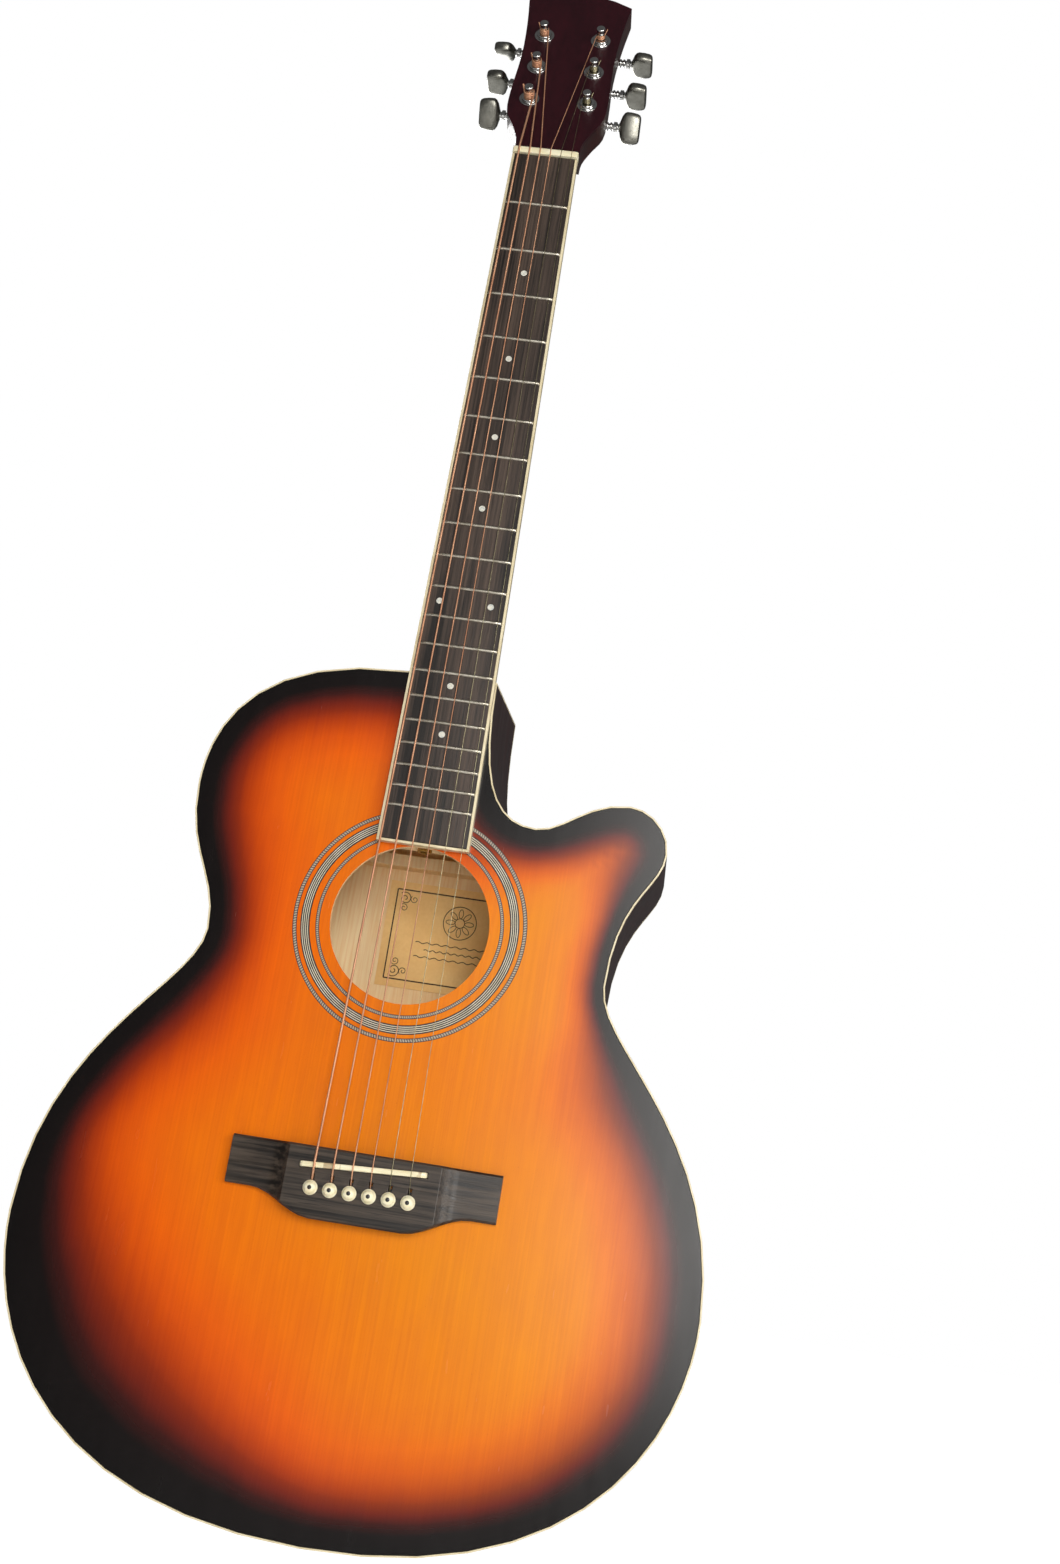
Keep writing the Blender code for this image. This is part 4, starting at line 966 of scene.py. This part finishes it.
def make_saddle():
    """A bone strip with a rounded crown and round ends that fall to the bridge's top."""
    length, half = 0.072, 0.0015
    top = SADDLE_LOW.y - 0.00025
    foot = SADDLE_HIGH.y
    sections = []
    stations = [(-1, 0.0022), (-0.995, 0.0014), (-0.985, 0.0008), (-0.965, 0.0003), (-0.93, 0)]
    stations += [(k / 4, 0) for k in range(-3, 4)] + [(-share, drop) for share, drop in reversed(stations)]
    for share, drop in stations:
        x = share * length / 2
        narrow = half * min(1.0, 0.55 + 40 * (1 - abs(share)))
        crown = [(x, top + drop + 0.0006 * (1 - up), narrow * aside) for aside, up in half_circle(8)]
        sections.append(crown + [(x, foot, -narrow), (x, foot, narrow)])
    place = turned_at((0, 0, SADDLE_Z), -SADDLE_SLANT, "Y")
    stand_in("saddle", moved(loft(sections), place), "stained_bone", 50)


def make_pin(name):
    """A turned pin with a collar, a domed head and a dark dot, with a dark ring at the foot of its hole that
    is painted shadow in the gap round the pin.
    """
    node = "bridge_pin_" + name
    low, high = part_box(node)
    upright = turned_at(((low.x + high.x) / 2, 0, (low.z + high.z) / 2), pi / 2, "X")
    tip, deep = -low.y, -high.y
    seat = tip - 0.0034
    profile = [(0, deep), (0.0013, deep), (0.0019, deep + 0.0012), (0.00255, seat - 0.0002), (0.0036, seat)]
    profile += arc_profile(0.0036, seat + 0.0006, 0.0006, 0.0006, -90, 70, 5)
    profile += [(0.0036, seat + 0.0013)]
    profile += arc_profile(0.0008, seat + 0.0013, 0.0027, 0.0021, 8, 90, 8)
    profile += [(0, tip)]
    stand_in(node, moved(lathe(profile, 32), upright), "bone", 60)
    dot = [(0.0014, tip - 0.0008), (0.0014, tip - 0.00012), (0.0010, tip + 0.00008), (0, tip + 0.00014)]
    piece("bridge_pin_dot_" + name, moved(lathe(dot, 24), upright), "dark", body_of(node))
    # Painted shadow: a dark ring at the bridge's foot, seen in the gap between the pin and its hole.
    edge = [(0.0028, 0.0001), (0.0062, 0.0001), (0.0062, 0.0006), (0.0028, 0.0006)]
    piece("pin_hole_shadow_ring_" + name, moved(lathe(edge, 32, close_ends=False), upright), "dark")


# Strings


def string_route(index, radius):
    """From the ball under the bridge's plate, up beside the pin, over saddle and nut, to the post."""
    side, height = post_place(index)
    pin_x, saddle_x = across(index, PIN_SPREAD), across(index, SADDLE_SPREAD)
    nut_x = across(index, NUT_SPREAD)
    over_saddle = SADDLE_LOW.y - GAP - radius
    over_nut = NUT_LOW.y - GAP - radius
    saddle_z = SADDLE_Z + saddle_x * tan(SADDLE_SLANT)
    post_x = side * (POST_X - POST_RADIUS * 0.8 - radius)
    low_bend = [(pin_x, 0.0070, PIN_Z + 0.0035), (pin_x, -0.0066, PIN_Z + 0.0035),
                (pin_x, -0.0080, PIN_Z + 0.0039), (pin_x, -0.0088, PIN_Z + 0.0048)]
    over = [(saddle_x, over_saddle + 0.0003, saddle_z - 0.0012), (saddle_x, over_saddle, saddle_z),
            (saddle_x, over_saddle + 0.00005, saddle_z + 0.0012)]
    return low_bend + over + [
        (nut_x, over_nut, NUT_Z), (nut_x, over_nut, NUT_Z + 0.0030),
        (nut_x, over_nut + 0.0004, NUT_HIGH.z), in_head(post_x, -STRING_ABOVE_FACE, height),
    ]


def dense(route, longest=0.02):
    points = []
    for start, end in zip(route, route[1:]):
        start, end = Vector(start), Vector(end)
        count = max(1, int((end - start).length / longest))
        points += [start.lerp(end, k / count) for k in range(count)]
    return points + [Vector(route[-1])]


def make_strings():
    ball = [(0.0006, -0.0017), (0.0018, -0.0017), (0.0012, -0.0006), (0.0012, 0.0006), (0.0018, 0.0017),
            (0.0006, 0.0017)]
    for index, (name, radius) in enumerate(zip(STRING_NAMES, STRING_RADII)):
        route = dense(string_route(index, radius))
        wound = index < WOUND_COUNT
        finish = "winding_" + name if wound else "steel"
        stand_in("string_" + name, tube(route, radius, 10), finish, 60)
        ball_place = turned_at(route[0] + Vector((0, 0.0036, 0.0010)), pi / 2, "Y")
        piece("string_ball_" + name, moved(lathe(ball, 20), ball_place), "brass")
        make_wraps(index, name, radius, finish)


def make_wraps(index, name, radius, finish):
    """The string's turns round its post, from the run's height down towards the face, and its cut tail."""
    side, height = post_place(index)
    turns = 3.5 if index < WOUND_COUNT else 5.5
    reach = POST_RADIUS * 0.8 + radius
    per_turn = max(radius * 2.05, 0.0006)
    start = pi if side > 0 else 0
    points = []
    for i in range(int(turns * 20) + 1):
        angle = start + side * FULL_TURN * i / 20
        depth = -STRING_ABOVE_FACE - per_turn * (i / 20 - turns / 2)
        x, up = side * POST_X + reach * cos(angle), height + reach * sin(angle)
        points.append(in_head(x, depth, up))
    away = start + side * (FULL_TURN * turns + 1.2)
    outward = Vector((cos(away), 0, sin(away)))
    last = points[-1]
    for out, rise in ((0.0012, 0.0002), (0.0040, 0.0012)):
        points.append(last + outward * out - Vector((0, rise, 0)))
    piece("string_wraps_" + name, tube(points, radius, 8), finish, body_of("tuner_post_" + name), sharp=60)


# Tuners


def make_tuners():
    for index, name in enumerate(STRING_NAMES):
        side, height = post_place(index)
        place = head_matrix() @ turned_at((side * POST_X, 0, height), pi / 2, "X")
        make_post(name, place)
        make_bushing(name, place)
        make_housing(name, side, height)
        make_button(name, side, height)


def make_post(name, place):
    """A post waisted where the string winds, with a domed tip and a dark plug across it whose ends are
    painted shade standing for the cross hole.
    """
    node = "tuner_post_" + name
    tip, radius = POST_TIP, POST_RADIUS
    profile = [(0, -0.0250), (0.0028, -0.0250), (0.0028, -0.0222), (0.0042, -0.0222), (0.0042, -0.0172),
               (radius, -0.0172), (radius, 0.0030), (radius * 0.80, 0.0042), (radius * 0.80, tip - 0.0040),
               (radius * 0.98, tip - 0.0028)]
    profile += arc_profile(radius * 0.98 - 0.0010, tip - 0.0011, 0.0010, 0.0009, -20, 90, 6)
    profile += [(0.0014, tip - 0.00005), (0, tip)]
    stand_in(node, moved(lathe(profile, 40), place), "chrome", 50)
    # Painted shade: a dark plug whose ends show where the cross hole would be.
    hole = lathe([(0.0009, -0.0026), (0.0011, -0.0024), (0.0011, 0.0024), (0.0009, 0.0026)], 20)
    across_post = place @ turned_at((0, 0, tip - 0.0052), pi / 2, "Y")
    piece("post_hole_shade_" + name, moved(hole, across_post), "dark", body_of(node))


def make_bushing(name, place):
    """The threaded bushing's washer and its collar on the head's face."""
    face = 0.0018
    washer = [(0.0034, face), (0.0068, face)]
    washer += arc_profile(0.0064, face + 0.0004, 0.0004, 0.0004, 0, 90, 4) + [(0.0034, face + 0.0009)]
    collar = [(0.0034, face + 0.0008), (0.0052, face + 0.0008), (0.0052, face + 0.0016)]
    collar += arc_profile(0.0046, face + 0.0022, 0.0006, 0.0006, 0, 90, 4)
    collar += [(0.0032, face + 0.0028), (0.0032, face)]
    shape = joined([lathe(profile, 44, close_ends=False) for profile in (washer, collar)])
    piece("tuner_bushing_" + name, moved(shape, place), "chrome", sharp=40)


def make_housing(name, side, height):
    """The closed gear case behind the head, with its cover's raised panel."""
    node = "tuner_housing_" + name
    soften(refined(node, "satin_chrome", edge=0), 0.0016, 4, 40)
    back, half_width, half_height = 0.0275, 0.0052, 0.0078
    middle_x, middle_height = side * POST_X, height + 0.00275
    corners = ((-half_width, -half_height), (half_width, -half_height), (half_width, half_height),
               (-half_width, half_height))
    panel = loft([[(middle_x + x * share, y, middle_height + up * share) for x, up in corners]
                  for y, share in ((back - 0.0002, 1.0), (back + 0.0005, 0.97))])
    soften(piece("tuner_panel_" + name, moved(panel, head_matrix()), "chrome"), 0.0004, 3)


def make_button(name, side, height):
    """A shaft with two beads and a collar, and a flat winged button with rounded corners."""
    node = "tuner_button_" + name
    hub = head_matrix() @ Matrix.Translation((side * POST_X, 0.0197, height + 0.0066))
    broad = broad_direction(node, hub)
    along = Vector((side, 0, 0))
    thin = along.cross(broad)
    turn = Matrix((broad, thin, along)).transposed().to_4x4()
    place = Matrix.Translation(hub.to_translation()) @ turn
    shaft = [(0, -0.0050), (0.0021, -0.0050), (0.0021, 0.0125)]
    for bead in (0.0135, 0.0160):
        shaft += arc_profile(0.0019, bead, 0.0010, 0.0009, -80, 80, 6)
    shaft += [(0.0021, 0.0176), (0.0034, 0.0180), (0.0034, 0.0200), (0.0022, 0.0206), (0.0022, 0.0225),
              (0, 0.0226)]
    piece("tuner_shaft_" + name, moved(lathe(shaft, 28), place), "chrome", body_of(node), sharp=40)
    wings = [(0.0214, 0.0020, 0.0024), (0.0221, 0.0027, 0.0040), (0.0232, 0.0035, 0.0076),
             (0.0246, 0.0040, 0.0097), (0.0262, 0.0043, 0.0105), (0.0300, 0.0043, 0.0104),
             (0.0335, 0.0041, 0.0098), (0.0350, 0.0037, 0.0090), (0.0356, 0.0030, 0.0080),
             (0.0358, 0.0022, 0.0070)]
    sections = []
    for reach, thickness, width in wings:
        sections.append([(width * squared(x), thickness * squared(y), reach) for x, y in circle(32)])
    stand_in(node, moved(loft(sections), place), "satin_chrome", 30)


def squared(value, power=0.55):
    """Pushes a circle's coordinate out towards a rounded square."""
    return copysign(abs(value) ** power, value)


def broad_direction(node, hub):
    """Which way the CAD's button is widest, across its shaft."""
    origin = hub.to_translation()
    offsets = [v.co - origin for v in NODES[node].data.vertices]
    flat = [Vector((0, o.y, o.z)) for o in offsets]
    return max(flat, key=lambda o: o.length).normalized()


# Stage


def make_floor():
    """A pale floor that runs far back, below the tail."""
    half, level = 30.0, BODY_LOW.z - 0.42
    shape = bmesh.new()
    corners = ((-half, -half), (half, -half), (half, half), (-half, half))
    shape.faces.new([shape.verts.new((x, y, level)) for x, y in corners])
    data = bpy.data.meshes.new("floor")
    shape.to_mesh(data)
    shape.free()
    floor = linked("floor", data)
    surface = Surface("floor_white", Roughness=0.9)
    cloud = surface.noise((0.7, 0.7, 0.7), 2.0)
    surface.feed(surface.shader.inputs["Base Color"], surface.ramp(cloud, (0.3, 0.80), (0.7, 0.84)))
    glow = surface.node("Emission", {"Color": (1, 1, 1, 1), "Strength": 1.2}).outputs["Emission"]
    share = surface.calculate("MULTIPLY", surface.node("LightPath").outputs["Is Camera Ray"], 0.85)
    pale = surface.node("MixShader", {0: share, 1: surface.shader.outputs["BSDF"], 2: glow})
    surface.feed(surface.tree.nodes["Material Output"].inputs["Surface"], pale.outputs["Shader"])
    data.materials.append(surface.material)


def make_world():
    """White to the camera, and a dim even sky to everything else."""
    world = bpy.data.worlds.new("studio")
    world.use_nodes = True
    tree = world.node_tree
    tree.nodes.clear()
    output = tree.nodes.new("ShaderNodeOutputWorld")
    choose = tree.nodes.new("ShaderNodeMixShader")
    paths = tree.nodes.new("ShaderNodeLightPath")
    for socket, grey, strength in ((1, 0.9, 0.12), (2, 1.0, 1.0)):
        light = tree.nodes.new("ShaderNodeBackground")
        light.inputs["Color"].default_value = (grey, grey, grey, 1)
        light.inputs["Strength"].default_value = strength
        tree.links.new(light.outputs["Background"], choose.inputs[socket])
    tree.links.new(paths.outputs["Is Camera Ray"], choose.inputs["Fac"])
    tree.links.new(choose.outputs["Shader"], output.inputs["Surface"])
    bpy.context.scene.world = world


def make_light(name, place, target, width, height, radiance, color=(1, 1, 1), shines=True):
    data = bpy.data.lights.new(name, "AREA")
    data.shape = "RECTANGLE"
    data.size, data.size_y = width, height
    data.energy = radiance * pi * width * height
    data.color = color
    light = linked(name, data)
    light.location = place
    light.rotation_euler = (Vector(target) - Vector(place)).to_track_quat("-Z", "Y").to_euler()
    light.visible_camera = False
    light.visible_glossy = shines


def make_lights():
    middle = (0, 0, (cad_low.z + cad_high.z) / 2 - 0.1)
    make_light("key", (0.47, -1.75, -0.35), middle, 0.7, 1.0, 8.2, (1.0, 0.98, 0.95))
    make_light("side", (1.75, -1.45, -0.25), middle, 0.8, 1.2, 8.0, (1.0, 0.97, 0.93))
    make_light("key_top", (0.36, -1.75, 0.12), middle, 0.45, 0.40, 6.5, (1.0, 0.98, 0.95))
    make_light("into_hole", (-0.15, -1.50, -1.25), (0, 0, HOLE_Z), 0.6, 0.6, 4.0, shines=False)
    make_light("back", (-0.9, 2.3, 0.4), middle, 1.6, 1.6, 9.0)


def make_camera():
    data = bpy.data.cameras.new("camera")
    data.lens = 41.22
    data.sensor_width = 36
    camera = linked("camera", data)
    ahead = Vector((-0.0894, 0.9628, 0.2550)).normalized()
    up = Vector((-0.1376, -0.2655, 0.9542))
    up = (up - ahead * up.dot(ahead)).normalized()
    right = ahead.cross(up)
    camera.matrix_world = Matrix.Translation((0.1513, -1.0245, -0.7085)) @ Matrix(
        (right, up, -ahead)).transposed().to_4x4()
    bpy.context.scene.camera = camera


def main():
    for make in (make_body, make_rosette, make_label, make_end_pin, make_heel_strip, make_neck,
                 make_fretboard, make_nut, make_bridge, make_strings, make_tuners, make_floor,
                 make_world, make_lights, make_camera):
        make()
    bpy.context.scene.view_settings.view_transform = "Standard"
    bpy.context.view_layer.update()


main()
